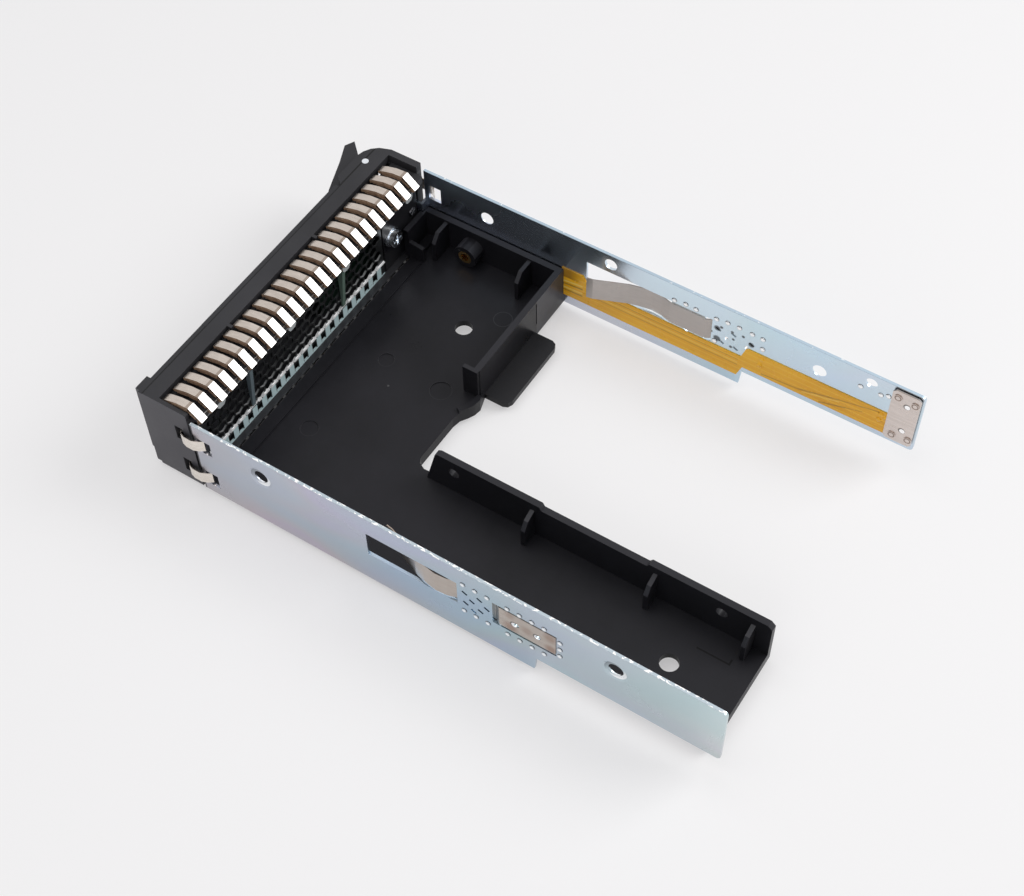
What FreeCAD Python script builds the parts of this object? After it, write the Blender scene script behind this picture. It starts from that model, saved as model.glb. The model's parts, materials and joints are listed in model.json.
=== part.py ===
import FreeCAD, Part
import math
import os
import Sketcher

# Hot swap drive caddy. Modelled from the front screw hole of the rails: X runs from the flex side
# to the plain side, Y from the bezel to the open rear end, Z upwards from the rails' bottom edge.
# The shift cells then move every sub-part so that the origin is below the middle of the whole.
SIZES = [
    ("rail_span", 103.6, "outside width over both rails"),
    ("rail_sheet", 0.8, "rail sheet thickness"),
    ("rail_top", 27.0, "rail top edge"),
    ("rail_lead", 20.8, "rail front edge ahead of the front screw hole"),
    ("rail_rear", 130.0, "rail rear end behind the front screw hole"),
    ("step_start", 79.8, "where the rail becomes shallower"),
    ("step_rise", 5.3, "how much the bottom edge steps up"),
    ("rail_corner", 1.2, "corner radius at the rear end"),
    ("hole_pitch", 101.6, "drive side screw spacing"),
    ("hole_level", 19.5, "screw hole height"),
    ("hole_bore", 4.0, "screw hole diameter"),
    ("hole_sink", 7.0, "countersink diameter"),
    ("sink_depth", 0.5, "countersink depth"),
    ("window_front", 32.0, "spring window front end"),
    ("window_rear", 58.2, "spring window rear end"),
    ("window_low", 11.6, "spring window bottom"),
    ("window_high", 20.4, "spring window top"),
    ("slot_front", 68.2, "spring pass-through slot front end"),
    ("slot_rear", 70.4, "spring pass-through slot rear end"),
    ("tail_rear", 86.0, "rear end of the recess for the spring tail"),
    ("tail_depth", 0.35, "depth of that recess"),
    ("leaf_sheet", 0.3, "leaf spring thickness"),
    ("leaf_gap", 0.6, "leaf to window edge"),
    ("leaf_bow", 4.5, "how far the free end stands into the bay"),
    ("tongue_base", 8.5, "rail tongue bottom"),
    ("tongue_tall", 8.0, "rail tongue height"),
    ("tongue_lead", 29.3, "rail tongue front end ahead of the screw hole"),
    ("catch_tall", 3.6, "snap bump size"),
    ("catch_gap", 0.2, "snap bump clearance"),
    ("tab_low", 3.8, "lower side spring bottom"),
    ("tab_high", 17.5, "upper side spring bottom"),
    ("tab_tall", 4.0, "side spring height"),
    ("tab_gap", 0.6, "side spring to slot edge"),
    ("tab_sheet", 0.25, "side spring thickness"),
    ("tab_stand", 1.1, "how far the side springs bulge out past the rails"),
    ("bezel_inset", 0.3, "bezel side inside the rail side"),
    ("bezel_top", 29.0, "bezel top"),
    ("bezel_base", -0.5, "bezel bottom"),
    ("bezel_face", 35.7, "bezel front wall ahead of the screw hole"),
    ("bezel_back", 21.9, "bezel rear edge ahead of the screw hole"),
    ("bezel_wall", 2.0, "bezel wall"),
    ("cheek_wall", 2.4, "bezel side wall"),
    ("hollow_low", 3.4, "bezel hollow bottom"),
    ("hollow_high", 24.4, "bezel hollow top"),
    ("recess_lead", 31.2, "front end of the recess for the fingers"),
    ("recess_top", 26.3, "floor of the top recess"),
    ("recess_low", 2.2, "roof of the bottom recess"),
    ("bar_back", 19.9, "rear bars ahead of the screw hole"),
    ("frame_face", 37.1, "button frame front ahead of the screw hole"),
    ("frame_wide", 25.4, "width of the button frame"),
    ("lip_face", 38.3, "grip lip ahead of the screw hole"),
    ("ledge_wall", 2.4, "hinge ledge thickness"),
    ("hinge_inset", 7.5, "hinge pin inside the bezel side"),
    ("hinge_lead", 35.2, "hinge pin ahead of the screw hole"),
    ("pin_bore", 1.92, "hole for the hinge pin in the ledges"),
    ("pin_size", 1.9, "hinge pin diameter"),
    ("lever_bore", 2.0, "hinge hole in the lever"),
    ("plate_face", 37.2, "lever plate front ahead of the screw hole"),
    ("plate_gap", 0.15, "lever plate to bezel front"),
    ("plate_low", 0.2, "lever plate bottom"),
    ("plate_high", 28.7, "lever plate top"),
    ("ledge_gap", 0.2, "lever to hinge ledge"),
    ("nose_reach", 45.4, "tip of the lever nose ahead of the screw hole"),
    ("nose_throw", 4.0, "tip of the lever nose outside the hinge pin"),
    ("knuckle_size", 6.4, "lever knuckle diameter"),
    ("ring_inset", 26.0, "light ring inside the hinge pin"),
    ("ring_size", 12.0, "light ring diameter"),
    ("ring_gap", 0.5, "lever opening around the light ring"),
    ("button_inset", 2.9, "button inside the start of its frame"),
    ("button_wide", 16.0, "button width"),
    ("button_low", 4.0, "button bottom"),
    ("button_tall", 20.0, "button height"),
    ("button_gap", 0.2, "button clearance in its frame"),
    ("button_travel", 1.2, "how far the button goes in"),
    ("spring_reach", 5.0, "free space for the button spring"),
    ("finger_pitch", 4.05, "spacing of the contact fingers"),
    ("finger_wide", 2.2, "finger width"),
    ("finger_rise", 3.97, "how far the fingers stand out of their recess"),
    ("finger_inset", 1.65, "side edge of the first finger inside the bezel side"),
    ("mesh_sheet", 0.5, "vent plate thickness"),
    ("mesh_back", 21.7, "vent plate rear face ahead of the screw hole"),
    ("mesh_gap", 0.5, "vent plate to indicator housing"),
    ("mesh_ledge", 8.0, "folded edge of the vent plate"),
    ("cell_pitch", 3.46, "honeycomb spacing"),
    ("cell_size", 2.96, "honeycomb opening across the flats"),
    ("strip_pitch", 4.05, "spacing of the slots below the honeycomb"),
    ("flex_gap", 0.08, "play of the flex circuit between tray and rail"),
    ("well_lead", 20.8, "front wall of the tray corner ahead of the screw hole"),
    ("tray_lead", 17.0, "tray front rim ahead of the screw hole"),
    ("tray_lip", 19.0, "tray floor front edge ahead of the screw hole"),
    ("tray_floor", 3.5, "tray floor top"),
    ("tray_sheet", 2.0, "tray floor thickness"),
    ("tray_rim", 1.6, "tray rim thickness"),
    ("tray_wall", 1.8, "tray wall thickness"),
    ("far_wall_top", 13.6, "tray wall by the flex, top"),
    ("tray_back", 24.9, "rear wall of the wide part of the tray"),
    ("ledge_top", 2.0, "top of the ledge behind that wall"),
    ("leg_side", 19.0, "leg wall, face towards the bay"),
    ("leg_top", 16.0, "leg wall top"),
    ("leg_dip", 1.1, "leg wall lower middle"),
    ("leg_rear", 126.2, "rear end of the tray leg"),
    ("side_pitch", 76.6, "small drive side screw spacing"),
    ("side_first", 36.4, "small drive front side screw"),
    ("side_level", 11.5, "small drive side screw height"),
    ("side_bore", 3.2, "small drive side screw hole"),
    ("floor_bore", 5.0, "floor hole diameter"),
    ("rib_sheet", 1.2, "tray rib thickness"),
    ("insert_size", 4.2, "threaded insert diameter"),
    ("insert_bore", 2.5, "threaded insert bore"),
    ("flex_sheet", 0.22, "flex circuit thickness"),
    ("flex_low", 3.4, "flex lower edge"),
    ("contact_inset", 8.4, "contact plate front edge ahead of the rail rear end"),
    ("contact_sheet", 0.5, "contact plate thickness"),
    ("rivet_bore", 1.42, "rivet hole diameter"),
    ("rivet_size", 1.4, "rivet diameter"),
    ("board_sheet", 1.0, "indicator board thickness"),
    ("board_lead", 26.6, "indicator board rear face ahead of the screw hole"),
    ("module_gap", 0.35, "indicator housing to rail tongue"),
    ("module_wide", 16.5, "indicator housing width"),
    ("module_back", 21.6, "indicator housing rear face ahead of the screw hole"),
    ("screw_size", 2.6, "module screw thread diameter"),
    ("screw_head", 5.0, "module screw head diameter"),
]
FORMULAS = [
    ("bezel_half", "=rail_span / 2 - bezel_inset", "half width of the bezel"),
    ("tab_bulge", "=rail_span / 2 + tab_stand", "outermost reach of the side springs"),
    ("frame_start", "=bezel_half - frame_wide", "where the button frame starts"),
    ("button_start", "=frame_start + button_inset", "button start"),
    ("hinge_off", "=bezel_half - hinge_inset", "hinge pin off the middle"),
    ("nose_off", "=hinge_off + nose_throw", "tip of the lever nose off the middle"),
    ("ring_off", "=hinge_off - ring_inset", "light ring off the middle"),
    ("module_far", "=bezel_half - cheek_wall - 0.05 - rail_sheet - module_gap", "indicator housing far side off the middle"),
    ("module_near", "=module_far - module_wide", "indicator housing near side off the middle"),
    ("mesh_far", "=module_near - mesh_gap", "vent plate far end off the middle"),
    ("finger_start", "=bezel_half - finger_inset", "side edge of the first finger"),
    ("tray_half", "=rail_span / 2 - rail_sheet - flex_sheet - flex_gap", "tray wall outside face off the middle"),
    ("contact_front", "=rail_rear - contact_inset", "contact plate front edge"),
    ("shift_x", "=0", "drawing zero to the row's origin"),
    ("shift_y", "=(nose_reach - rail_rear) / 2", "drawing zero to the row's origin"),
    ("shift_z", "=finger_rise - recess_low", "drawing zero to the row's origin"),
]

os.makedirs("parts", exist_ok=True)
doc = FreeCAD.newDocument("DriveCaddy")
sheet = doc.addObject("Spreadsheet::Sheet", "Sizes")


class Size:
    def __init__(self, value, text):
        self.value = value
        self.text = text

    def __add__(self, other):
        return join(self, other, "+")

    def __radd__(self, other):
        return join(other, self, "+")

    def __sub__(self, other):
        return join(self, other, "-")

    def __rsub__(self, other):
        return join(other, self, "-")

    def __mul__(self, other):
        return join(self, other, "*")

    def __rmul__(self, other):
        return join(other, self, "*")

    def __truediv__(self, other):
        return join(self, other, "/")

    def __neg__(self):
        return join(0.0, self, "-")


def as_size(item):
    if isinstance(item, Size):
        return item
    return Size(float(item), "%.8g" % item if item >= 0 else "(%.8g)" % item)


def join(first, second, sign):
    first, second = as_size(first), as_size(second)
    results = {
        "+": first.value + second.value,
        "-": first.value - second.value,
        "*": first.value * second.value,
    }
    if sign == "/":
        results["/"] = first.value / second.value
    return Size(results[sign], "(%s %s %s)" % (first.text, sign, second.text))


class Sheet:
    pass


s = Sheet()
for row, (name, value, note) in enumerate(SIZES, 1):
    sheet.set("A%d" % row, name)
    sheet.set("B%d" % row, "%.6g" % value)
    sheet.set("C%d" % row, note)
    sheet.setAlias("B%d" % row, name)
    setattr(s, name, Size(value, "Sizes." + name))
for row, (name, formula, note) in enumerate(FORMULAS, len(SIZES) + 1):
    sheet.set("A%d" % row, name)
    sheet.set("B%d" % row, formula)
    sheet.set("C%d" % row, note)
    sheet.setAlias("B%d" % row, name)
doc.recompute()
for name, formula, note in FORMULAS:
    setattr(s, name, Size(float(sheet.get(name)), "Sizes." + name))

# places that follow from the values above
outer = s.rail_span / 2
inner = outer - s.rail_sheet
half = s.bezel_half
hollow = half - s.cheek_wall
tongue_out = hollow - 0.05
tongue_in = tongue_out - s.rail_sheet
hinge = s.hinge_off
ring_off = s.ring_off
frame_start = s.frame_start
button_start = s.button_start
module_far = s.module_far
module_near = s.module_near
mesh_far = s.mesh_far
finger_start = s.finger_start
tray_half = s.tray_half
flex_out = inner - 0.03
flex_in = flex_out - s.flex_sheet
near_side = inner

ROLES = {"xy": "XY_Plane", "xz": "XZ_Plane", "yz": "YZ_Plane"}
nodes = []
cuts = []


def place(item, label):
    item.Label = label
    for axis in "xyz":
        item.setExpression("Placement.Base." + axis, "Sizes.shift_" + axis)
    nodes.append(item)
    return item


def new_body(label):
    return place(doc.addObject("PartDesign::Body", "Body_" + label), label)


def draw(body, plane, level, shapes):
    sketch = body.newObject("Sketcher::SketchObject", "Sketch")
    role = ROLES[plane]
    support = [item for item in body.Origin.OriginFeatures if item.Role == role][0]
    sketch.AttachmentSupport = [(support, "")]
    sketch.MapMode = "FlatFace"
    level = -as_size(level) if plane == "xz" else as_size(level)
    sketch.AttachmentOffset = FreeCAD.Placement(FreeCAD.Vector(0, 0, level.value), FreeCAD.Rotation())
    sketch.setExpression("AttachmentOffset.Base.z", level.text)
    curves, rules, bound = [], [], []
    for shape in shapes:
        first = len(curves)
        if shape[0] == "disc":
            across, up, size = [as_size(item) for item in shape[1:]]
            centre = FreeCAD.Vector(across.value, up.value, 0)
            curves.append(Part.Circle(centre, FreeCAD.Vector(0, 0, 1), size.value / 2))
            rules.append(Sketcher.Constraint("Diameter", first, size.value))
            bound.append((len(rules) - 1, size))
            spots, corners, point = [centre], [(across, up)], 3
        else:
            corners = [(as_size(u), as_size(v)) for u, v in shape[1]]
            spots = [FreeCAD.Vector(u.value, v.value, 0) for u, v in corners]
            point = 1
            for i in range(len(spots)):
                curves.append(Part.LineSegment(spots[i], spots[(i + 1) % len(spots)]))
                following = first + (i + 1) % len(spots)
                rules.append(Sketcher.Constraint("Coincident", first + i, 2, following, 1))
        for i in range(len(spots)):
            for kind, amount in zip(("DistanceX", "DistanceY"), corners[i]):
                rules.append(Sketcher.Constraint(kind, -1, 1, first + i, point, amount.value))
                bound.append((len(rules) - 1, amount))
    sketch.addGeometry(curves, False)
    sketch.addConstraint(rules)
    for number, amount in bound:
        if "Sizes" in amount.text:
            sketch.setExpression("Constraints[%d]" % number, amount.text)
    sketch.Visibility = False
    return sketch


def solid(body, plane, low, high, *shapes):
    low, high = as_size(low), as_size(high)
    sketch = draw(body, plane, high if plane == "xz" else low, shapes)
    pad = body.newObject("PartDesign::Pad", "Pad")
    pad.Profile = sketch
    pad.Length = (high - low).value
    pad.setExpression("Length", (high - low).text)
    return pad


def cut(body, plane, low, high, *shapes):
    low, high = as_size(low), as_size(high)
    sketch = draw(body, plane, low if plane == "xz" else high, shapes)
    pocket = body.newObject("PartDesign::Pocket", "Pocket")
    pocket.Profile = sketch
    pocket.Length = (high - low).value
    pocket.setExpression("Length", (high - low).text)
    cuts.append(pocket)
    return pocket


def box(left, right, low, high):
    return ("poly", [(left, low), (right, low), (right, high), (left, high)])


def poly(*corners):
    return ("poly", list(corners))


def ribbon(line, sheet_thickness, along):
    # a strip of sheet drawn as a line, thickened across the first or second axis
    if along == "first":
        other = [(u + sheet_thickness, v) for u, v in line]
    else:
        other = [(u, v + sheet_thickness) for u, v in line]
    return ("poly", list(line) + other[::-1])


def repeat(body, feature, pitch, count):
    pattern = body.newObject("PartDesign::LinearPattern", "Row")
    pattern.Originals = [feature]
    axis = [item for item in body.Origin.OriginFeatures if item.Role == "X_Axis"][0]
    pattern.Direction = (axis, [""])
    span = pitch * (count - 1)
    pattern.Length = span.value
    pattern.setExpression("Length", span.text)
    pattern.Occurrences = count
    body.Tip = pattern
    return pattern


def sided(side, low, high):
    return (low, high) if side > 0 else (-high, -low)


def flip(side, corners):
    return [(u * side, v) for u, v in corners]


def round_edges(body, radius, wanted, kind="Fillet"):
    doc.recompute()
    base = body.Tip
    names = []
    for number, edge in enumerate(base.Shape.Edges, 1):
        if edge.Curve.TypeId == "Part::GeomLine" and wanted(edge):
            names.append("Edge%d" % number)
    feature = body.newObject("PartDesign::" + kind, kind)
    feature.Base = (base, names)
    amount = as_size(radius)
    if kind == "Fillet":
        feature.Radius = amount.value
        feature.setExpression("Radius", amount.text)
    else:
        feature.Size = amount.value
        feature.setExpression("Size", amount.text)
    return feature


def runs(edge, axis):
    first, last = edge.Vertexes[0].Point, edge.Vertexes[-1].Point
    step = last - first
    return abs(abs(step[axis]) - step.Length) < 1e-6


def near(edge, **where):
    middle = (edge.Vertexes[0].Point + edge.Vertexes[-1].Point) * 0.5
    return all(abs(middle["xyz".index(key)] - amount) < 0.06 for key, amount in where.items())


# side rails
tongue_top = s.tongue_base + s.tongue_tall
catch_lead = s.tongue_lead - 3
catch_mid = s.tongue_base + s.tongue_tall / 2
STITCHES = [60.0, 63.4, 66.8, 72.4, 75.8, 79.2, 82.6]
STITCH_LEVELS = (9.6, 21.2)
STITCH_END = [(86.9, 12.6), (86.9, 15.6), (86.9, 18.6)]
SLITS = [(60.4, 17.8), (62.4, 15.6), (60.6, 13.4), (64.6, 18.2), (64.8, 13.2), (66.6, 15.8), (62.8, 11.6),
         (72.4, 17.8), (73.6, 13.4), (76.9, 18.2), (77.8, 13.2), (82.2, 17.6), (83.0, 13.6)]
RIVETS = [(s.rail_rear - back, level) for back, level in ((6.7, 24.0), (2.0, 23.6), (6.1, 9.2), (1.7, 9.6))]


def make_rail(side, label):
    body = new_body(label)
    low, high = sided(side, inner, outer)
    solid(body, "yz", low, high, poly(
        (-s.rail_lead, 0), (s.step_start, 0), (s.step_start + 0.5, s.step_rise),
        (s.rail_rear, s.step_rise), (s.rail_rear, s.rail_top), (-s.rail_lead, s.rail_top)))
    solid(body, "xy", s.tongue_base, tongue_top, poly(*flip(side, [
        (outer, -s.rail_lead), (outer, s.rail_sheet - s.rail_lead), (tongue_out, s.rail_sheet - s.rail_lead),
        (tongue_in, s.rail_sheet - s.rail_lead), (tongue_in, -s.tongue_lead), (tongue_out, -s.tongue_lead),
        (tongue_out, -s.rail_lead)])))
    low, high = sided(side, tongue_in - 0.5, tongue_out + 0.5)
    reach = s.catch_tall / 2 + s.catch_gap
    cut(body, "yz", low, high, box(-catch_lead - reach, reach - catch_lead, catch_mid - reach, catch_mid + reach))
    # screw holes with their countersinks from the outside
    low, high = sided(side, inner - 0.5, outer + 0.5)
    openings = [
        ("disc", 0, s.hole_level, s.hole_bore),
        ("disc", s.hole_pitch, s.hole_level, s.hole_bore),
        box(s.window_front, s.window_rear, s.window_low, s.window_high),
        box(s.slot_front, s.slot_rear, s.window_low, s.window_high),
        ("disc", 74.9, 15.6, 1.3),
        ("disc", 80.9, 15.6, 1.3),
    ]
    for base in (s.tab_low, s.tab_high):
        openings.append(box(-19.4, -15.4, base - s.tab_gap, base + s.tab_tall + s.tab_gap))
    for along, level in SLITS:
        openings.append(poly((along - 0.9, level + 0.1), (along + 0.5, level - 0.7),
                             (along + 0.9, level - 0.1), (along - 0.5, level + 0.7)))
    if side < 0:
        openings.append(("disc", 39.4, 23.6, 3.8))
        openings.append(("disc", 115.6, 23.8, 3.4))
        openings += [("disc", along, level, s.rivet_bore) for along, level in RIVETS]
    cut(body, "yz", low, high, *openings)
    for along in (0.0, s.hole_pitch):
        sketch = draw(body, "yz", outer * side, [("disc", along, s.hole_level, s.hole_sink)])
        pocket = body.newObject("PartDesign::Pocket", "Countersink")
        pocket.Profile = sketch
        pocket.Length = s.sink_depth.value
        pocket.setExpression("Length", s.sink_depth.text)
        pocket.Reversed = side < 0
        pocket.TaperAngle = -60
        cuts.append(pocket)
    # recess for the spring tail and the row of stitch dots around it
    low, high = sided(side, outer - s.tail_depth, outer + 0.5)
    cut(body, "yz", low, high, box(s.slot_rear - 0.1, s.tail_rear, s.window_low, s.window_high))
    dots = [("disc", along, level, 1.3) for along in STITCHES for level in STITCH_LEVELS]
    dots += [("disc", along, level, 1.3) for along, level in STITCH_END]
    low, high = sided(side, outer - 0.1, outer + 0.2)
    solid(body, "yz", low, high, *dots)
    rear = s.rail_rear.value
    round_edges(body, s.rail_corner, lambda edge: runs(edge, 0) and near(edge, y=rear))
    return body


make_rail(1, "right_rail")
make_rail(-1, "left_rail")

# leaf springs threaded through the rails
leaf_low = s.window_low + s.leaf_gap
leaf_high = s.window_high - s.leaf_gap


def make_leaf(side, label):
    body = new_body(label)
    t = s.leaf_sheet
    line = [
        (inner - s.leaf_bow, s.window_front + 2.6), (inner - s.leaf_bow + 0.3, s.window_front + 4.4),
        (inner - 0.3 - t, s.window_rear - 12.8), (inner + 0.45 - t, s.window_rear - 9.8),
        (inner + 1.0 - t, s.window_rear - 6.2), (inner + 0.75 - t, s.window_rear - 3.0),
        (inner - t - 0.02, s.window_rear - 0.2), (inner - t - 0.02, s.slot_front + 0.5),
        (outer - s.tail_depth + 0.01, s.slot_rear - 0.3),
        (outer - s.tail_depth + 0.01, s.tail_rear - 0.3),
    ]
    shape = ribbon(line, t, "first")
    solid(body, "xy", leaf_low, leaf_high, poly(*flip(side, shape[1])))
    low, high = sided(side, outer - 1, outer + 1)
    cut(body, "yz", low, high, ("disc", 74.9, 15.6, 1.5), ("disc", 80.9, 15.6, 1.5))
    return body


make_leaf(1, "right_leaf_spring")
make_leaf(-1, "left_leaf_spring")

# bezel housing
bezel = new_body("bezel_housing")
solid(bezel, "xy", s.bezel_base, s.bezel_top, box(-half, half, -s.bezel_face, -s.bezel_back))
cut(bezel, "xz", s.bezel_wall - s.bezel_face, 0, box(-hollow, hollow, s.hollow_low, s.hollow_high))
cut(bezel, "xy", s.recess_top, s.bezel_top + 1, box(2.1 - half, half - 1.2, -s.recess_lead, 0))
cut(bezel, "xy", s.bezel_base - 1, s.recess_low, box(2.1 - half, half - 1.2, -s.recess_lead, 0))
# lugs between the finger strips
for count in (7, 16):
    lug = finger_start - s.finger_pitch * count + (s.finger_pitch - s.finger_wide) / 2
    solid(bezel, "xy", s.recess_top - 0.2, s.bezel_top, box(lug - 0.45, lug + 0.45, -s.recess_lead - 0.1, 1.4 - s.recess_lead))
# bars that close the opening above and below, and the two gussets hanging in it
solid(bezel, "xz", -s.bezel_back - 0.5, -s.bar_back, box(-hollow, hollow, s.hollow_high, s.recess_top + 0.5),
      box(-hollow, hollow, s.recess_low - 0.5, s.hollow_low))
GUSSETS = (28.6, -11.6)
for middle in GUSSETS:
    solid(bezel, "yz", middle - 0.6, middle + 0.6, poly(
        (0.05 - s.mesh_back, s.hollow_high + 0.5), (-s.bar_back, s.hollow_high + 0.5), (-s.bar_back, s.hollow_high - 1.6),
        (0.45 - s.mesh_back, s.mesh_ledge + 0.8), (0.05 - s.mesh_back, s.mesh_ledge + 0.8)))
# hinge corner: ledges above and below, open between them
ledge_under = s.bezel_top - s.ledge_wall
ledge_over = s.bezel_base + s.ledge_wall
cut(bezel, "xy", ledge_over, ledge_under,
    poly((8.0 - hinge, -60), (8.0 - hinge, -30.4), (-5.1 - hinge, -30.4), (-5.1 - hinge, -34.6),
         (-16.0 - hinge, -34.6), (-16.0 - hinge, -60)))
cut(bezel, "xy", s.bezel_base - 1, s.bezel_top + 1,
    poly((-3.5 - hinge, -60), (-2.8 - hinge, -37.9), (-4.8 - hinge, -36.7), (-6.3 - hinge, -34.9), (-half, -31.6),
         (-16.0 - hinge, -31.6), (-16.0 - hinge, -60)))
ledge = poly((11.0 - hinge, -s.bezel_face), (8.3 - hinge, -38.4), (-0.8 - hinge, -38.4), (-2.8 - hinge, -37.9),
             (-4.8 - hinge, -36.7), (-5.6 - hinge, -s.bezel_face), (-5.6 - hinge, -33.0), (11.0 - hinge, -33.0))
solid(bezel, "xy", ledge_under, s.bezel_top, ledge)
solid(bezel, "xy", s.bezel_base, ledge_over, ledge)
solid(bezel, "xy", s.hollow_low - 0.5, s.hollow_high + 0.5, poly(
    (-hollow - 0.5, -30.4), (8.0 - hinge, -30.4), (8.0 - hinge, 0.1 - s.bezel_face), (9.0 - hinge, 0.1 - s.bezel_face),
    (9.0 - hinge, -29.4), (-hollow - 0.5, -29.4)))
cut(bezel, "xy", s.bezel_base + 0.7, s.bezel_top + 1, ("disc", -hinge, -s.hinge_lead, s.pin_bore))
# button frame with its opening and the grip lip
solid(bezel, "xz", -s.frame_face, -s.bezel_face, box(frame_start, half, s.bezel_base + 0.7, s.bezel_top - 0.2))
solid(bezel, "xz", -s.lip_face, -s.frame_face, box(half - 5.1, half - 0.6, s.bezel_base + 5, s.bezel_top - 0.2))
gap = s.button_gap
button_end = button_start + s.button_wide
button_top = s.button_low + s.button_tall
cut(bezel, "xz", -50, s.bezel_wall - s.bezel_face,
    box(button_start - gap, button_end + gap, s.button_low - gap, button_top + gap))
# post that carries the button spring
spring_seat = s.bezel_wall - s.bezel_face + 0.9 + s.spring_reach
button_mid = button_start + s.button_wide / 2
solid(bezel, "xz", spring_seat, spring_seat + 1.6, box(button_mid - 4, button_mid + 4, s.hollow_low - 0.5, 19.0))
# vents, the light ring seat and slots for the side springs
vents = []
vent_start = frame_start - 35.7
for column in range(5):
    for row in range(5):
        left = vent_start + 7.0 * column
        vents.append(box(left, left + 5.4, 5.2 + 3.9 * row, 7.6 + 3.9 * row))
ring_mid = 14.1
cut(bezel, "xz", -50, s.bezel_wall - s.bezel_face, ("disc", -ring_off, ring_mid, s.ring_size + 0.1), *vents)
for side in (1, -1):
    low, high = sided(side, hollow - 0.5, half + 1)
    cut(bezel, "yz", low, high,
        *[box(-26.8, -24.2, base - s.tab_gap, base + s.tab_tall + s.tab_gap) for base in (s.tab_low, s.tab_high)])
    low, high = sided(side, hollow - 0.5, hollow + 0.3)
    reach = s.catch_tall / 2
    solid(bezel, "yz", low, high, box(-catch_lead - reach, reach - catch_lead, catch_mid - reach, catch_mid + reach))

# lever: front plate, nose and knuckle
lever = new_body("handle_lever")
plate_back = s.bezel_face + s.plate_gap
plate_shapes = [box(11.4 - hinge, frame_start - 0.2, s.plate_low, s.plate_high),
                ("disc", -ring_off, ring_mid, s.ring_size + 2 * s.ring_gap)]
plate_vents = []
for column in range(5):
    for row in range(5):
        left = vent_start - 0.2 + 7.0 * column
        if (column, row) == (4, 1):
            continue  # closed behind: the catch stands there
        plate_vents.append(box(left, left + 5.8, 5.0 + 3.9 * row, 7.8 + 3.9 * row))
solid(lever, "xz", -s.plate_face, -plate_back, *(plate_shapes + plate_vents))
nose_low = ledge_over + s.ledge_gap
nose_high = ledge_under - s.ledge_gap
solid(lever, "xy", nose_low, nose_high, poly(
    (15.4 - hinge, -s.plate_face), (12.4 - hinge, -39.0), (2.0 - hinge, -42.8), (-s.nose_off, -s.nose_reach),
    (-2.8 - s.nose_off, 1.4 - s.nose_reach), (-2.6 - hinge, -39.6), (-2.2 - hinge, -37.4), (7.4 - hinge, -37.0),
    (9.4 - hinge, 0.3 - s.plate_face), (10.8 - hinge, -plate_back), (15.4 - hinge, -plate_back)))
solid(lever, "xy", 8.0, nose_high, ("disc", -hinge, -s.hinge_lead, s.knuckle_size))
cut(lever, "xy", 0, 40, ("disc", -hinge, -s.hinge_lead, s.lever_bore))
cut(lever, "xy", 0, 8.0, box(-4.6 - hinge, 3.6 - hinge, -38.6, -30))
solid(lever, "xz", -plate_back - 0.1, -33.9, box(vent_start + 28.8, vent_start + 32.6, 9.6, 11.0))

pin = doc.addObject("Part::Cylinder", "Pin")
pin.Radius = s.pin_size.value / 2
pin.setExpression("Radius", (s.pin_size / 2).text)
pin.Height = 28.3
pin.setExpression("Height", (s.bezel_top - s.bezel_base - 0.7 + 0.05).text)
nodes.append(pin)
pin.Label = "hinge_pin"
pin.setExpression("Placement.Base.x", "Sizes.shift_x - Sizes.hinge_off")
pin.setExpression("Placement.Base.y", "Sizes.shift_y - Sizes.hinge_lead")
pin.setExpression("Placement.Base.z", "Sizes.shift_z + Sizes.bezel_base + 0.7")

# release button with the flange that keeps it in
button = new_body("release_button")
flange_front = s.bezel_wall - s.bezel_face + 0.05
solid(button, "xz", -37.7, flange_front + 0.4, box(button_start, button_end, s.button_low, button_top))
solid(button, "xz", flange_front, flange_front + 0.8,
      box(button_start - 0.9, button_end + 0.9, s.button_low - 0.5, button_top + 0.3))
for row in range(5):
    cut(button, "xz", -37.8, -37.3, box(button_start + 3, button_end - 3, 8.2 + 2.6 * row, 9.3 + 2.6 * row))


def make_coil(label, plane, radius, wire, pitch, tall, centre):
    body = doc.addObject("PartDesign::Body", "Body_" + label)
    sketch = draw(body, plane, 0, [("disc", radius, 0, wire)])
    coil = body.newObject("PartDesign::AdditiveHelix", "Coil")
    coil.Profile = sketch
    coil.ReferenceAxis = (sketch, ["V_Axis"])
    coil.Mode = 0
    coil.Pitch = pitch
    coil.Height = tall
    place(body, label)
    for axis, amount in zip("xyz", centre):
        body.setExpression("Placement.Base." + axis, "Sizes.shift_%s + %s" % (axis, as_size(amount).text))
    return body


make_coil("button_spring", "xy", 2.6, 0.5, 1.48, 4.44,
          (button_mid, flange_front + 0.8 + 0.3, 14.0))
make_coil("lever_spring", "xz", 1.75, 0.5, 1.0, 3.0, (-hinge, -s.hinge_lead, nose_low + 0.7))

# light ring, its cap, the light pipe and the indicator board with its lamps
ring = new_body("light_ring")
solid(ring, "xz", -36.5, s.bezel_wall - s.bezel_face, ("disc", -ring_off, ring_mid, s.ring_size))
cut(ring, "xz", -37, -35.9, ("disc", -ring_off, ring_mid, 8.2))
cap = new_body("ring_cap")
solid(cap, "xz", -36.6, -35.92, ("disc", -ring_off, ring_mid, 8.0))
board_front = s.board_lead + s.board_sheet
pipe = new_body("light_pipe")
solid(pipe, "xz", s.bezel_wall - s.bezel_face, -board_front - 0.85, ("disc", -ring_off, ring_mid, 7.0))
board = new_body("indicator_board")
solid(board, "xz", -board_front, -s.board_lead, box(2.1 - module_far, 10.0 - ring_off, 5.0, 22.0))
lamps = new_body("status_lamps")
solid(lamps, "xz", -board_front - 0.85, -board_front, box(-2.9 - ring_off, -1.1 - ring_off, 13.4, 14.8))
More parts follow.
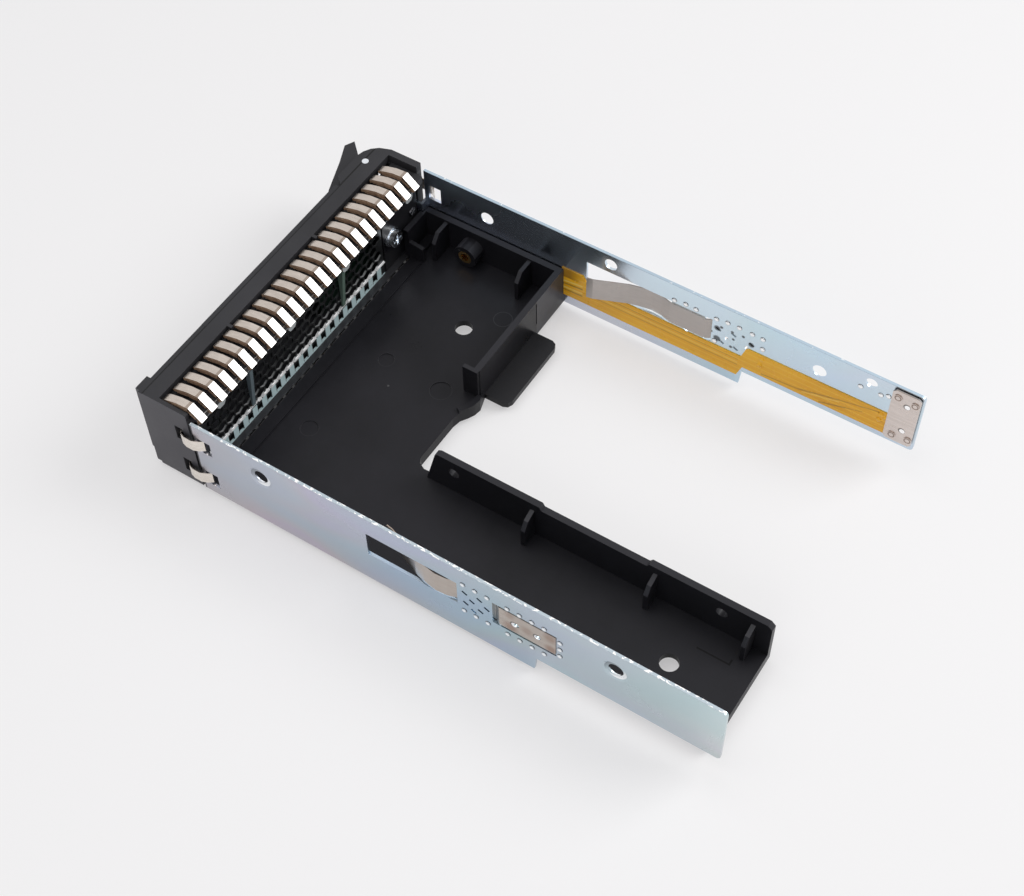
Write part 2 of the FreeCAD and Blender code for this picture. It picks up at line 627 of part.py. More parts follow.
solid(lamps, "xz", -board_front - 0.85, -board_front, box(1.1 - ring_off, 2.9 - ring_off, 13.4, 14.8))

# indicator housing at the flex side, its screw
module = new_body("indicator_housing")
solid(module, "xy", s.hollow_low, s.hollow_high,
      box(-module_far, -module_near, -29.2, -s.module_back))
cut(module, "xz", -board_front, -s.board_lead, box(1.9 - module_far, 11.4 - module_near, 4.9, 22.1))
screw_off = module_near + 3.4
screw_level = 15.1
cut(module, "xz", -25.5, 0, ("disc", -screw_off, screw_level, s.screw_size))
screw = new_body("module_screw")
seat = 0.01 - s.module_back
solid(screw, "xz", -25.4, seat, ("disc", -screw_off, screw_level, s.screw_size - 0.02))
solid(screw, "xz", seat, seat + 0.8, ("disc", -screw_off, screw_level, s.screw_head + 1.0))
solid(screw, "xz", seat + 0.7, seat + 1.1, ("disc", -screw_off, screw_level, s.screw_head - 0.8))
solid(screw, "xz", seat + 1.0, seat + 2.5, ("disc", -screw_off, screw_level, s.screw_head))
cross = [(-0.35, -1.7), (0.35, -1.7), (0.35, -0.35), (1.7, -0.35), (1.7, 0.35), (0.35, 0.35), (0.35, 1.7), (-0.35, 1.7),
         (-0.35, 0.35), (-1.7, 0.35), (-1.7, -0.35), (-0.35, -0.35)]
cut(screw, "xz", seat + 1.6, seat + 3, poly(*[(across - screw_off, up + screw_level) for across, up in cross]))

# honeycomb vent plate with its folded edge and slotted strip
mesh = new_body("vent_plate")
mesh_front = s.mesh_back + s.mesh_sheet
solid(mesh, "xz", -mesh_front, -s.mesh_back, box(-mesh_far, tongue_in - 0.05, s.hollow_low, s.hollow_high))
ledge_ends = [-mesh_far, GUSSETS[1] - 1.9, GUSSETS[1] + 1.6, GUSSETS[0] - 1.9, GUSSETS[0] + 1.6, tongue_in - 4.6]
solid(mesh, "xz", -s.mesh_back - 0.1, 0.4 - s.mesh_back,
      *[box(ledge_ends[i], ledge_ends[i + 1], s.mesh_ledge, s.mesh_ledge + 0.4) for i in (0, 2, 4)])
slot = cut(mesh, "xz", -30, 0, box(3.7 - mesh_far, 5.5 - mesh_far, s.hollow_low + 0.5, s.mesh_ledge - 1.7))
repeat(mesh, slot, s.strip_pitch, 18)
cells = []
radius = s.cell_size / math.sqrt(3)
rise = s.cell_pitch * (math.sqrt(3) / 2)
for row in range(5):
    level = s.mesh_ledge + 1.6 + rise * row
    middle = 4.12 - mesh_far - (s.cell_pitch / 2) * (row % 2)
    cells.append(poly(*[(middle + radius * math.sin(math.radians(60 * k)),
                         level + radius * math.cos(math.radians(60 * k))) for k in range(6)]))
column = cut(mesh, "xz", -30, 0, *cells)
repeat(mesh, column, s.cell_pitch, 22)

# contact finger strips above and below: each finger is a folded strip, drawn as distances ahead of the
# screw hole and above the recess floor
OUTER = [(-30.4, 1.05), (-28.6, 1.85), (-25.6, 2.65), (-22.5, 2.75), (-19.45, 0.34), (-19.66, -0.2), (-19.66, -0.45),
         (-18.75, -0.15), (-18.27, 0.7), (-22.1, None), (-25.7, 3.67), (-28.7, 2.82), (-30.5, 2.05)]
INSIDE = [(-29.7, 1.68), (-28.6, 2.15), (-25.6, 2.95), (-22.6, 3.05), (-19.8, 0.88), (-19.3, 1.1), (-22.2, 3.58),
          (-25.7, 3.36), (-28.6, 2.5)]
bar_face = 0.02 - s.bar_back


def make_strip(label, first, count, tabs, below):
    body = new_body(label)

    def level(amount):
        amount = s.finger_rise if amount is None else amount
        return s.recess_low - amount if below else s.recess_top + amount

    start = finger_start - s.finger_pitch * (first + count - 1)
    end = finger_start - s.finger_pitch * first
    spine = sorted([level(-1.2), level(0.7)], key=lambda amount: amount.value)
    solid(body, "xz", bar_face, bar_face + 0.25, box(start - s.finger_wide, end, *spine))
    pad = solid(body, "yz", start - s.finger_wide, start, poly(*[(along, level(up)) for along, up in OUTER]),
                poly(*[(along, level(up)) for along, up in INSIDE]))
    repeat(body, pad, s.finger_pitch, count)
    for middle in tabs:
        solid(body, "xz", bar_face, bar_face + 0.25, poly(
            (middle + 1.6, level(-1.1)), (middle + 1.6, level(-2.3)), (middle + 0.9, level(-3.2)),
            (middle - 0.9, level(-3.2)), (middle - 1.6, level(-2.3)), (middle - 1.6, level(-1.1))))
    return body


make_strip("top_fingers_near", 0, 7, [finger_start - 8.9], False)
make_strip("top_fingers_middle", 7, 9, [finger_start - 38.6, finger_start - 62.6], False)
make_strip("top_fingers_far", 16, 8, [finger_start - 92.0], False)
make_strip("bottom_fingers", 0, 24, [], True)


# side contact springs
def make_side_spring(side, label):
    body = new_body(label)
    t = s.tab_sheet
    reach = s.tab_bulge - t
    rest = tongue_in - t - 0.03
    line = [(rest, -29.2), (rest, -26.9), (outer - 2.9, -25.9), (outer - 0.5, -25.0), (outer + 0.4, -24.2),
            (reach, -22.8), (reach, -20.6), (outer + 0.2, -18.9), (inner + 0.1, -17.7)]
    shape = ribbon(line, t, "first")
    for base in (s.tab_low, s.tab_high):
        solid(body, "xy", base, base + s.tab_tall, poly(*flip(side, shape[1])))
    low, high = sided(side, rest, rest + t)
    solid(body, "yz", low, high, box(-29.2, -26.9, s.tab_low, s.tab_high + s.tab_tall))
    return body


make_side_spring(1, "right_side_springs")
make_side_spring(-1, "left_side_springs")

# drive tray
tray = new_body("drive_tray")
floor_low = s.tray_floor - s.tray_sheet
leg_in = s.leg_side + s.tray_wall
edge_line = [(s.leg_side, 28.4), (s.leg_side + 0.1, 25.6), (s.leg_side - 0.9, 23.6), (s.leg_side - 2.4, 22.9),
             (8.0, 22.9), (2.0, 23.0), (-0.6, 23.5), (-2.6, 24.8), (-4.4, 25.7), (-6.6, s.tray_back + 1.2)]
leg_out = near_side - 2.6
outline = [(-near_side, -s.tray_lead), (near_side, -s.tray_lead), (near_side, s.step_start - 2.8),
           (leg_out, s.step_start - 1.2), (leg_out, s.leg_rear), (s.leg_side, s.leg_rear)]
outline += edge_line + [(-10.6, s.tray_back), (-near_side, s.tray_back)]
inset = [(-near_side + s.tray_rim, s.tray_rim - s.tray_lead), (near_side - s.tray_rim, s.tray_rim - s.tray_lead),
         (near_side - s.tray_rim, s.step_start - 3.6), (leg_out - s.tray_rim, s.step_start - 2.0),
         (leg_out - s.tray_rim, s.leg_rear - s.tray_rim), (s.leg_side + s.tray_rim, s.leg_rear - s.tray_rim),
         (s.leg_side + s.tray_rim, 28.0), (s.leg_side + 1.6, 24.6), (s.leg_side + 0.2, 22.2), (s.leg_side - 2.0, 21.3),
         (1.8, 21.4), (-1.4, 22.1), (-3.6, 23.6), (-6.8, s.tray_back - 0.6),
         (-10.2, s.tray_back - s.tray_rim), (-near_side + s.tray_rim, s.tray_back - s.tray_rim)]
solid(tray, "xy", 0, s.tray_floor, poly(*outline))
cut(tray, "xy", -1, floor_low, poly(*inset))
solid(tray, "xy", s.tray_floor - 0.8, s.tray_floor, box(-near_side, near_side, -s.tray_lip, 0.5 - s.tray_lead))
# step the far side in for the flex circuit
cut(tray, "xy", 3.0, 30, box(-60, -tray_half, -40, 60))
# walls of the far corner: side, front with its step, rear, and the return by the ledge
wall_in = tray_half - s.tray_wall
side_start = s.rail_sheet - s.rail_lead + 0.15
front_near = 39.7
front_in = s.tray_rim - s.well_lead
corner = [(-tray_half, side_start), (0.1 - tongue_in, side_start), (0.1 - tongue_in, -s.well_lead),
          (-front_near, -s.well_lead)]
solid(tray, "xy", s.hollow_low + 0.05, s.tray_floor + 1.1,
      poly(*(corner + [(-front_near, 0.5 - s.tray_lead), (-tray_half, 0.5 - s.tray_lead)])))
solid(tray, "xy", s.tray_floor + 0.1, s.far_wall_top, poly(*(corner + [(-front_near, front_in), (-tray_half, front_in)])))
solid(tray, "xy", s.tray_floor - 0.05, s.far_wall_top, box(-tray_half, -wall_in, side_start, s.tray_back))
solid(tray, "xy", s.tray_floor - 0.5, s.far_wall_top, box(-tray_half, -8.8, s.tray_back - s.tray_wall, s.tray_back))
solid(tray, "xy", s.tray_floor - 0.5, s.far_wall_top, box(-9.0, -7.8, s.tray_back - 4.8, s.tray_back - 0.2))
cut(tray, "xz", s.tray_back - 0.4, s.tray_back + 1, box(-36.9, -36.5, s.tray_floor + 1, s.far_wall_top - 0.8))
solid(tray, "yz", -front_near - s.rib_sheet, -front_near, poly(
    (front_in - 0.1, s.tray_floor - 0.1), (front_in + 4.6, s.tray_floor - 0.1), (front_in + 4.6, 8.6), (front_in - 0.1, 9.4)))
for along in (-13.0, 14.4):
    solid(tray, "xz", along, along + s.rib_sheet, poly(
        (-wall_in - 0.5, s.tray_floor - 0.5), (-42.0, s.tray_floor - 0.5), (-42.0, s.far_wall_top - 3.4),
        (-44.2, s.far_wall_top - 0.6), (-wall_in - 0.5, s.far_wall_top - 0.6)))
# leg wall with its lower middle and slanted start
solid(tray, "yz", s.leg_side, leg_in, poly(
    (27.6, s.tray_floor - 0.5), (s.leg_rear, s.tray_floor - 0.5), (s.leg_rear, s.leg_top - 1.2), (s.leg_rear - 1.2, s.leg_top),
    (93.0, s.leg_top), (92.2, s.leg_top - s.leg_dip), (62.4, s.leg_top - s.leg_dip), (61.8, s.leg_top), (31.8, s.leg_top), (30.8, s.leg_top - 0.6)))
for along in (59.2, 94.2, 120.8):
    solid(tray, "xz", along, along + s.rib_sheet, poly(
        (leg_in - 0.5, 3), (25.4, 3), (25.4, 9.6), (23.8, 12.2), (leg_in - 0.5, 13.6)))
# ledge that carries the front end of a small drive
solid(tray, "xy", 0.2, s.ledge_top, poly(
    (-35.8, s.tray_back - 1.2), (-10.6, s.tray_back - 1.2), (-10.6, s.tray_back + 5.7), (-11.2, s.tray_back + 7.0),
    (-12.6, s.tray_back + 7.6), (-33.8, s.tray_back + 7.6), (-35.2, s.tray_back + 7.0), (-35.8, s.tray_back + 5.7)))
# low rib along the curved edge
solid(tray, "xy", s.tray_floor - 0.5, s.tray_floor + 0.9, poly(
    (-7.9, s.tray_back - 0.4), (-7.9, s.tray_back + 0.8), (-6.6, s.tray_back + 1.2), (-4.4, 25.7), (-2.6, 24.8),
    (-0.6, 23.5), (-1.4, 22.1), (-3.4, 23.5), (-6.8, s.tray_back - 0.5)))
# boss for the threaded insert, holes and shallow marks
boss_along, boss_level, boss_end = -3.7, 7.6, 44.5
solid(tray, "yz", -wall_in - 0.5, -boss_end, ("disc", boss_along, boss_level, s.insert_size + 3.0))
solid(tray, "xz", boss_along - 0.8, boss_along + 0.8, box(-wall_in - 0.5, -boss_end - 0.4, 3, boss_level - 2.6))
cut(tray, "yz", -wall_in, 0 - boss_end + 1, ("disc", boss_along, boss_level, s.insert_size))
cut(tray, "xy", -1, 20, ("disc", -25.8, 8.2, s.floor_bore), ("disc", 35.0, 107.3, s.floor_bore))
cut(tray, "yz", s.leg_side - 1, leg_in + 1, ("disc", s.side_first, s.side_level, s.side_bore),
    ("disc", s.side_first + s.side_pitch, s.side_level, s.side_bore))
cut(tray, "xy", s.tray_floor - 0.4, 30, box(-39.0, 48.0, -15.3, -14.7), box(28.0, 41.0, 96.4, 102.4))
cut(tray, "xy", s.tray_floor - 0.3, 3.6, ("disc", -5.4, -3.4, 4.4), ("disc", -4.4, 15.0, 6.0), ("disc", 24.2, -7.4, 5.0))

insert = new_body("threaded_insert")
solid(insert, "yz", -wall_in + 0.01, 0 - boss_end + 0.02, ("disc", boss_along, boss_level, s.insert_size - 0.02),
      ("disc", boss_along, boss_level, s.insert_bore))

# flex circuit along the far rail
flex = new_body("flex_circuit")
flex_end = s.rail_rear - 4.4
leg_front = 0.03 - s.module_back
holes = [("disc", along, level, s.rivet_bore) for along, level in RIVETS[2:3]]
solid(flex, "yz", -flex_out, -flex_in, poly(
    (leg_front, 4.0), (side_start + 0.25, 4.0), (side_start + 0.25, s.flex_low), (s.step_start - 0.8, s.flex_low),
    (s.step_start + 0.7, s.flex_low + 4.0), (flex_end, s.flex_low + 4.0), (flex_end, 15.4), (s.step_start + 1.2, 15.4),
    (s.step_start - 0.2, s.window_low - 0.4), (33.0, s.window_low - 0.4), (31.0, 14.2), (s.tray_back - 0.6, 14.2),
    (s.tray_back - 0.6, 11.0), (side_start + 0.25, 11.0), (side_start + 0.25, 8.3), (leg_front, 8.3)), *holes)
# its end folded over the rear of the indicator housing
solid(flex, "xy", 4.0, 8.3, box(-flex_out, -module_far + 2.4, leg_front, leg_front + s.flex_sheet))

# rear contact plate and the rivets through it
contact = new_body("contact_plate")
contact_out = flex_in - 0.02
contact_in = contact_out - s.contact_sheet
solid(contact, "yz", -contact_out, -contact_in, poly(
    (s.contact_front, 7.9), (s.contact_front + 0.8, 7.1), (s.rail_rear - 1.4, 7.1), (s.rail_rear - 0.6, 7.9),
    (s.rail_rear - 0.6, 25.6), (s.rail_rear - 1.4, 26.4),
    (s.contact_front + 0.8, 26.4), (s.contact_front, 25.6)),
    *[("disc", along, level, s.rivet_bore) for along, level in RIVETS])
rivets = []
for number, (along, level) in enumerate(RIVETS):
    stem = doc.addObject("Part::Cylinder", "Stem%d" % number)
    head = doc.addObject("Part::Cylinder", "Head%d" % number)
    for item, radius, tall, start in ((stem, s.rivet_size / 2, outer - contact_in, -outer),
                                      (head, as_size(1.1), as_size(0.25), -contact_in)):
        item.Radius = radius.value
        item.setExpression("Radius", radius.text)
        item.Height = tall.value
        item.setExpression("Height", tall.text)
        item.Placement = FreeCAD.Placement(FreeCAD.Vector(start.value, along.value, level),
                                           FreeCAD.Rotation(FreeCAD.Vector(0, 1, 0), 90))
        item.setExpression("Placement.Base.x", start.text)
        item.setExpression("Placement.Base.y", along.text)
    rivet = doc.addObject("Part::Fuse", "Rivet%d" % number)
    rivet.Base = stem
    rivet.Tool = head
    rivets.append(rivet)
group = doc.addObject("Part::Compound", "Rivets")
group.Links = rivets
place(group, "contact_rivets")

doc.recompute()

for item in doc.Objects:
    if "Invalid" in item.State or "Error" in item.State:
        raise SystemExit("not built: %s %s" % (item.Name, item.State))
for pocket in cuts:
    before = pocket.BaseFeature.Shape.Volume
    if not pocket.Shape.Volume < before - 1e-6:
        raise SystemExit("cut missed: %s in %s" % (pocket.Name, pocket.getParentGeoFeatureGroup().Label))
for item in nodes:
    shape = item.Shape
    if shape.isNull() or not shape.isValid():
        raise SystemExit("bad shape: " + item.Label)
    shape.exportStep("parts/%s.step" % item.Label)
    size = shape.BoundBox
    print("%-20s solids %d volume %9.1f  x %.2f %.2f  y %.2f %.2f  z %.2f %.2f" % (
        item.Label, len(shape.Solids), shape.Volume, size.XMin, size.XMax, size.YMin, size.YMax, size.ZMin, size.ZMax))
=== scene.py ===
import bmesh
import bpy
import json
import math
from mathutils import Euler, Matrix, Vector


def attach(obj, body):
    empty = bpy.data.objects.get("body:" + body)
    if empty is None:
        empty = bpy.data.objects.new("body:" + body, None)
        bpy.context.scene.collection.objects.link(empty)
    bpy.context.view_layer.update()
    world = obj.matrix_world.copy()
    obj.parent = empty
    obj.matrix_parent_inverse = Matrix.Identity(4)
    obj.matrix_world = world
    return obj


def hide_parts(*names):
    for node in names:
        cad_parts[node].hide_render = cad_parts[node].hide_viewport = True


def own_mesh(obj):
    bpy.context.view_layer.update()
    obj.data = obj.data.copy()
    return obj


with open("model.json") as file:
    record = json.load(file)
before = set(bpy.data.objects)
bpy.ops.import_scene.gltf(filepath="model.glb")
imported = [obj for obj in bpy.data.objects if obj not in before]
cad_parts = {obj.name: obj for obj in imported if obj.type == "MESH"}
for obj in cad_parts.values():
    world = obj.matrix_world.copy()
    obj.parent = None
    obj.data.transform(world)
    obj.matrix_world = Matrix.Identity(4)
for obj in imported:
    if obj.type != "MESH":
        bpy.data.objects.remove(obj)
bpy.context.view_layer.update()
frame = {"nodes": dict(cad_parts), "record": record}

nodes = frame["nodes"]
mm = 0.001
shiftY = -42.3           # the drawing's zero is the front screw hole, the model's is its middle
shiftZ = 1.77


def alongAt(y):
    return (y + shiftY) * mm


def levelAt(z):
    return (z + shiftZ) * mm


def spot(x, y, z):
    return Vector((x * mm, alongAt(y), levelAt(z)))


# shader helpers: a mask or colour may be a plain value or another node's output

facing = 0.8             # least part of the normal with which a face counts as turned that way


def link(tree, fromSocket, toSocket):
    tree.links.new(fromSocket, toSocket)


def feed(tree, item, socket):
    if hasattr(item, "is_output"):
        link(tree, item, socket)
    else:
        socket.default_value = item


def maths(tree, kind, first, second=None):
    node = tree.nodes.new("ShaderNodeMath")
    node.operation = kind
    feed(tree, first, node.inputs[0])
    if second is not None:
        feed(tree, second, node.inputs[1])
    return node.outputs[0]


def greater(tree, value, level):
    return maths(tree, "GREATER_THAN", value, level)


def less(tree, value, level):
    return maths(tree, "LESS_THAN", value, level)


def minus(tree, first, second):
    return maths(tree, "SUBTRACT", first, second)


def unsigned(tree, value):
    return maths(tree, "ABSOLUTE", value)


def both(tree, *masks):
    joined = masks[0]
    for mask in masks[1:]:
        joined = maths(tree, "MULTIPLY", joined, mask)
    return joined


def either(tree, *masks):
    joined = masks[0]
    for mask in masks[1:]:
        joined = maths(tree, "MAXIMUM", joined, mask)
    return joined


def faded(tree, mask, amount):
    return maths(tree, "MULTIPLY", mask, amount)


def band(tree, value, low, high):
    return both(tree, greater(tree, value, low), less(tree, value, high))


def mixColour(tree, fac, first, second, blend="MIX"):
    node = tree.nodes.new("ShaderNodeMix")
    node.data_type = "RGBA"
    node.blend_type = blend
    feed(tree, fac, node.inputs["Factor"])
    feed(tree, first, node.inputs["A"])
    feed(tree, second, node.inputs["B"])
    return node.outputs["Result"]


def painted(tree, colour, mask, tone, share=None):
    # lays a tone over the colour where the mask is set, only in part where a share is given
    if share is not None:
        mask = faded(tree, mask, share)
    return mixColour(tree, mask, colour, tone + (1,))


def rampFloat(tree, fac, low, high, fromLow=0.3, fromHigh=0.7):
    node = tree.nodes.new("ShaderNodeMapRange")
    node.inputs["From Min"].default_value = fromLow
    node.inputs["From Max"].default_value = fromHigh
    node.inputs["To Min"].default_value = low
    node.inputs["To Max"].default_value = high
    link(tree, fac, node.inputs["Value"])
    return node.outputs["Result"]


def ramp(tree, fac, stops):
    node = tree.nodes.new("ShaderNodeValToRGB")
    ramped = node.color_ramp
    ramped.elements[0].position, ramped.elements[0].color = stops[0]
    ramped.elements[1].position, ramped.elements[1].color = stops[-1]
    for position, colour in stops[1:-1]:
        ramped.elements.new(position).color = colour
    link(tree, fac, node.inputs["Fac"])
    return node.outputs["Color"]


def noise(tree, vector, scale, detail=4.0, rough=0.5, stretch=None):
    if stretch:
        mapping = tree.nodes.new("ShaderNodeMapping")
        mapping.inputs["Scale"].default_value = stretch
        link(tree, vector, mapping.inputs["Vector"])
        vector = mapping.outputs["Vector"]
    node = tree.nodes.new("ShaderNodeTexNoise")
    node.inputs["Detail"].default_value = detail
    node.inputs["Roughness"].default_value = rough
    feed(tree, scale, node.inputs["Scale"])
    link(tree, vector, node.inputs["Vector"])
    return node.outputs["Fac"]


def axes(tree, place, output="Object"):
    parts = tree.nodes.new("ShaderNodeSeparateXYZ")
    link(tree, place.outputs[output], parts.inputs["Vector"])
    return parts.outputs


def vectorMaths(tree, kind, first, second=None):
    node = tree.nodes.new("ShaderNodeVectorMath")
    node.operation = kind
    link(tree, first, node.inputs[0])
    if second is not None:
        node.inputs[1].default_value = second
    return node.outputs


def distanceFrom(tree, place, centre, plane=(0, 1, 1)):
    # distance from a spot, measured in one plane only
    shifted = vectorMaths(tree, "SUBTRACT", place.outputs["Object"], spot(*centre))[0]
    flat = vectorMaths(tree, "MULTIPLY", shifted, plane)[0]
    return vectorMaths(tree, "LENGTH", flat)["Value"]


# camera, floor and light

cameraSetup = {
    "place": (225.65, 191.73, 375.04),
    "turn": (35.988, 0.932, 122.579),
    "lens": 62.04,
    "sensor": 36.0,
    "clipStart": 0.01,
}

lightSetup = {
    "worldGrey": (0.32, 0.32, 0.3264),
    "seenGrey": (0.86, 0.85, 0.86),       # what the camera, gloss and clear plastic see of the backdrop
    "floorGrey": (0.83, 0.82, 0.825),     # what the light that falls on the object sees of the floor
    "floorGlow": (0.455, 0.448175, 0.452725),      # part of the seen white that no shadow takes away
    "floorShare": (0.46, 0.46, 0.46),     # part of it that carries the shadow
    "floorSize": 3.0,
    "floorRough": 0.6,
    "softboxes": [
        # name, direction it stands in, distance, size, watts
        ("rearBox", (-0.50, 0.62, 0.72), 0.95, 0.55, 4.6),
        ("topBox", (0.10, -0.25, 1.0), 1.05, 0.80, 3.4),
        ("sideBox", (0.95, 0.15, 0.55), 1.10, 0.70, 2.0),
    ],
}


def addCamera():
    data = bpy.data.cameras.new("camera")
    data.lens = cameraSetup["lens"]
    data.sensor_width = cameraSetup["sensor"]
    data.clip_start = cameraSetup["clipStart"]
    camera = bpy.data.objects.new("camera", data)
    bpy.context.scene.collection.objects.link(camera)
    camera.location = spot(*cameraSetup["place"])
    camera.rotation_euler = Euler([math.radians(angle) for angle in cameraSetup["turn"]])
    bpy.context.scene.camera = camera


def addLights():
    for name, direction, distance, wide, watts in lightSetup["softboxes"]:
        data = bpy.data.lights.new(name, "AREA")
        data.shape = "SQUARE"
        data.size = wide
        data.energy = watts
        lamp = bpy.data.objects.new(name, data)
        bpy.context.scene.collection.objects.link(lamp)
        aim = Vector(direction).normalized()
        lamp.location = aim * distance
        lamp.rotation_euler = aim.to_track_quat("Z", "Y").to_euler()


def seenDirectly(tree, plain, bright):
    # bright for the camera, a reflection or clear plastic, plain for the light that falls on the object
    path = tree.nodes.new("ShaderNodeLightPath").outputs
    seen = either(tree, path["Is Camera Ray"], path["Is Glossy Ray"], path["Is Transmission Ray"])
    return mixColour(tree, seen, plain + (1,), bright + (1,))


def addWorld():
    world = bpy.data.worlds.new("studio")
    bpy.context.scene.world = world
    world.use_nodes = True
    tree = world.node_tree
    background = tree.nodes["Background"]
    backdrop = seenDirectly(tree, lightSetup["worldGrey"], lightSetup["seenGrey"])
    link(tree, backdrop, background.inputs["Color"])
    background.inputs["Strength"].default_value = 1.0


def addFloor():
    values = lightSetup
    mesh = bpy.data.meshes.new("floor")
    grid = bmesh.new()
    bmesh.ops.create_grid(grid, x_segments=1, y_segments=1, size=values["floorSize"])
    grid.to_mesh(mesh)
    grid.free()
    floor = bpy.data.objects.new("floor", mesh)
    bpy.context.scene.collection.objects.link(floor)
    material = bpy.data.materials.new("floor")
    material.use_nodes = True
    tree = material.node_tree
    shader = tree.nodes["Principled BSDF"]
    link(tree, seenDirectly(tree, values["floorGrey"], values["floorShare"]), shader.inputs["Base Color"])
    link(tree, seenDirectly(tree, (0, 0, 0), values["floorGlow"]), shader.inputs["Emission Color"])
    shader.inputs["Emission Strength"].default_value = 1.0
    shader.inputs["Roughness"].default_value = values["floorRough"]
    shader.inputs["Specular IOR Level"].default_value = 0.0
    mesh.materials.append(material)


addCamera()
addLights()
addWorld()
addFloor()
bpy.context.scene.view_settings.view_transform = "Standard"
print("camera, light and floor ready")

# shader groups shared by the finishes

grainSetup = {"cells": 130.0, "speck": 0.045, "rareScale": 90.0, "rareFrom": 0.60}
edgeSetup = {"glintScale": 1500.0, "stretch": (1.0, 0.45, 1.0), "level": 0.0287, "sparkle": 0.6}


def newGroup(name, inputs, outputs):
    group = bpy.data.node_groups.new(name, "ShaderNodeTree")
    for label, kind, value in inputs:
        socket = group.interface.new_socket(name=label, in_out="INPUT", socket_type=kind)
        socket.default_value = value
    for label, kind in outputs:
        group.interface.new_socket(name=label, in_out="OUTPUT", socket_type=kind)
    start = group.nodes.new("NodeGroupInput")
    end = group.nodes.new("NodeGroupOutput")
    return group, start, end


def grainGroup():
    # fine grain, cloudy unevenness and a few specks
    values = grainSetup
    group, start, end = newGroup(
        "surfaceGrain",
        [("Vector", "NodeSocketVector", (0, 0, 0)), ("Grain Scale", "NodeSocketFloat", 4000.0),
         ("Cloud Scale", "NodeSocketFloat", 60.0)],
        [("Grain", "NodeSocketFloat"), ("Cloud", "NodeSocketFloat"), ("Speck", "NodeSocketFloat")])
    vector = start.outputs["Vector"]
    link(group, noise(group, vector, start.outputs["Grain Scale"], 2.0, 0.6), end.inputs["Grain"])
    link(group, noise(group, vector, start.outputs["Cloud Scale"], 5.0, 0.55), end.inputs["Cloud"])
    cells = group.nodes.new("ShaderNodeTexVoronoi")
    cells.inputs["Scale"].default_value = values["cells"]
    link(group, vector, cells.inputs["Vector"])
    near = less(group, cells.outputs["Distance"], values["speck"])
    rare = greater(group, noise(group, vector, values["rareScale"], 1.0), values["rareFrom"])
    link(group, both(group, near, rare), end.inputs["Speck"])
    return group


def edgeGroup():
    # sheared upper edge: a paler painted highlight along it, with a broken line of painted glints
    values = edgeSetup
    group, start, end = newGroup(
        "shearedEdgeHighlight",
        [("Vector", "NodeSocketVector", (0, 0, 0)), ("Level", "NodeSocketFloat", values["level"]),
         ("Sparkle", "NodeSocketFloat", values["sparkle"])],
        [("Edge", "NodeSocketFloat"), ("Glint", "NodeSocketFloat")])
    parts = group.nodes.new("ShaderNodeSeparateXYZ")
    link(group, start.outputs["Vector"], parts.inputs["Vector"])
    mask = greater(group, minus(group, parts.outputs["Z"], start.outputs["Level"]), 0.0)
    glint = noise(group, start.outputs["Vector"], values["glintScale"], 2.0, 0.6, values["stretch"])
    link(group, mask, end.inputs["Edge"])
    link(group, both(group, mask, greater(group, glint, start.outputs["Sparkle"])), end.inputs["Glint"])
    return group


grain = grainGroup()
sheared = edgeGroup()


def startMaterial(name, roughness, metallic=0.0):
    material = bpy.data.materials.new(name)
    material.use_nodes = True
    tree = material.node_tree
    shader = tree.nodes["Principled BSDF"]
    shader.inputs["Roughness"].default_value = roughness
    shader.inputs["Metallic"].default_value = metallic
    place = tree.nodes.new("ShaderNodeTexCoord")
    return material, tree, shader, place


def addGrain(tree, place, grainScale, cloudScale):
    node = tree.nodes.new("ShaderNodeGroup")
    node.node_tree = grain
    node.inputs["Grain Scale"].default_value = grainScale
    node.inputs["Cloud Scale"].default_value = cloudScale
    link(tree, place.outputs["Object"], node.inputs["Vector"])
    return node


def addBump(tree, shader, height, strength, distance):
    bump = tree.nodes.new("ShaderNodeBump")
    bump.inputs["Strength"].default_value = strength
    bump.inputs["Distance"].default_value = distance
    link(tree, height, bump.inputs["Height"])
    link(tree, bump.outputs["Normal"], shader.inputs["Normal"])


# moulded plastics

plasticSetup = {
    "cloudScale": 45.0, "speckTone": (0.45, 0.45, 0.45), "wornSheenFrom": 0.30, "wornSheenTo": 0.94, "wornSheenLeast": 0.45,
    "smudgeScale": 24.0, "smudgeRough": (-0.05, 0.07), "bumpDepth": 0.00005,
}


def plasticMaterial(name, dark, pale, roughLow, roughHigh, grainScale=3500.0, bump=0.25, specks=0.0,
                    specular=0.25, paint=None, edge=None):
    values = plasticSetup
    material, tree, shader, place = startMaterial(name, roughLow)
    node = addGrain(tree, place, grainScale, values["cloudScale"])
    cloud = node.outputs["Cloud"]
    colour = mixColour(tree, rampFloat(tree, cloud, 0.0, 1.0), dark + (1,), pale + (1,))
    if specks:
        colour = painted(tree, colour, node.outputs["Speck"], values["speckTone"], specks)
    if paint:
        colour = paint(tree, place, colour)
    if edge:
        # a painted highlight on the edges round the upper faces, partly handling wear, a little paler and
        # broken up
        turned = axes(tree, place, "Normal")
        wornSheen = both(tree, band(tree, turned["Z"], values["wornSheenFrom"], values["wornSheenTo"]),
                    rampFloat(tree, cloud, values["wornSheenLeast"], 1.0))
        colour = painted(tree, colour, wornSheen, edge)
    link(tree, colour, shader.inputs["Base Color"])
    smudge = noise(tree, place.outputs["Object"], values["smudgeScale"], 6.0, 0.62)
    rough = maths(tree, "ADD", rampFloat(tree, cloud, roughLow, roughHigh),
                  rampFloat(tree, smudge, *values["smudgeRough"], 0.40, 0.62))
    link(tree, rough, shader.inputs["Roughness"])
    shader.inputs["Specular IOR Level"].default_value = specular
    addBump(tree, shader, node.outputs["Grain"], bump, values["bumpDepth"])
    return material


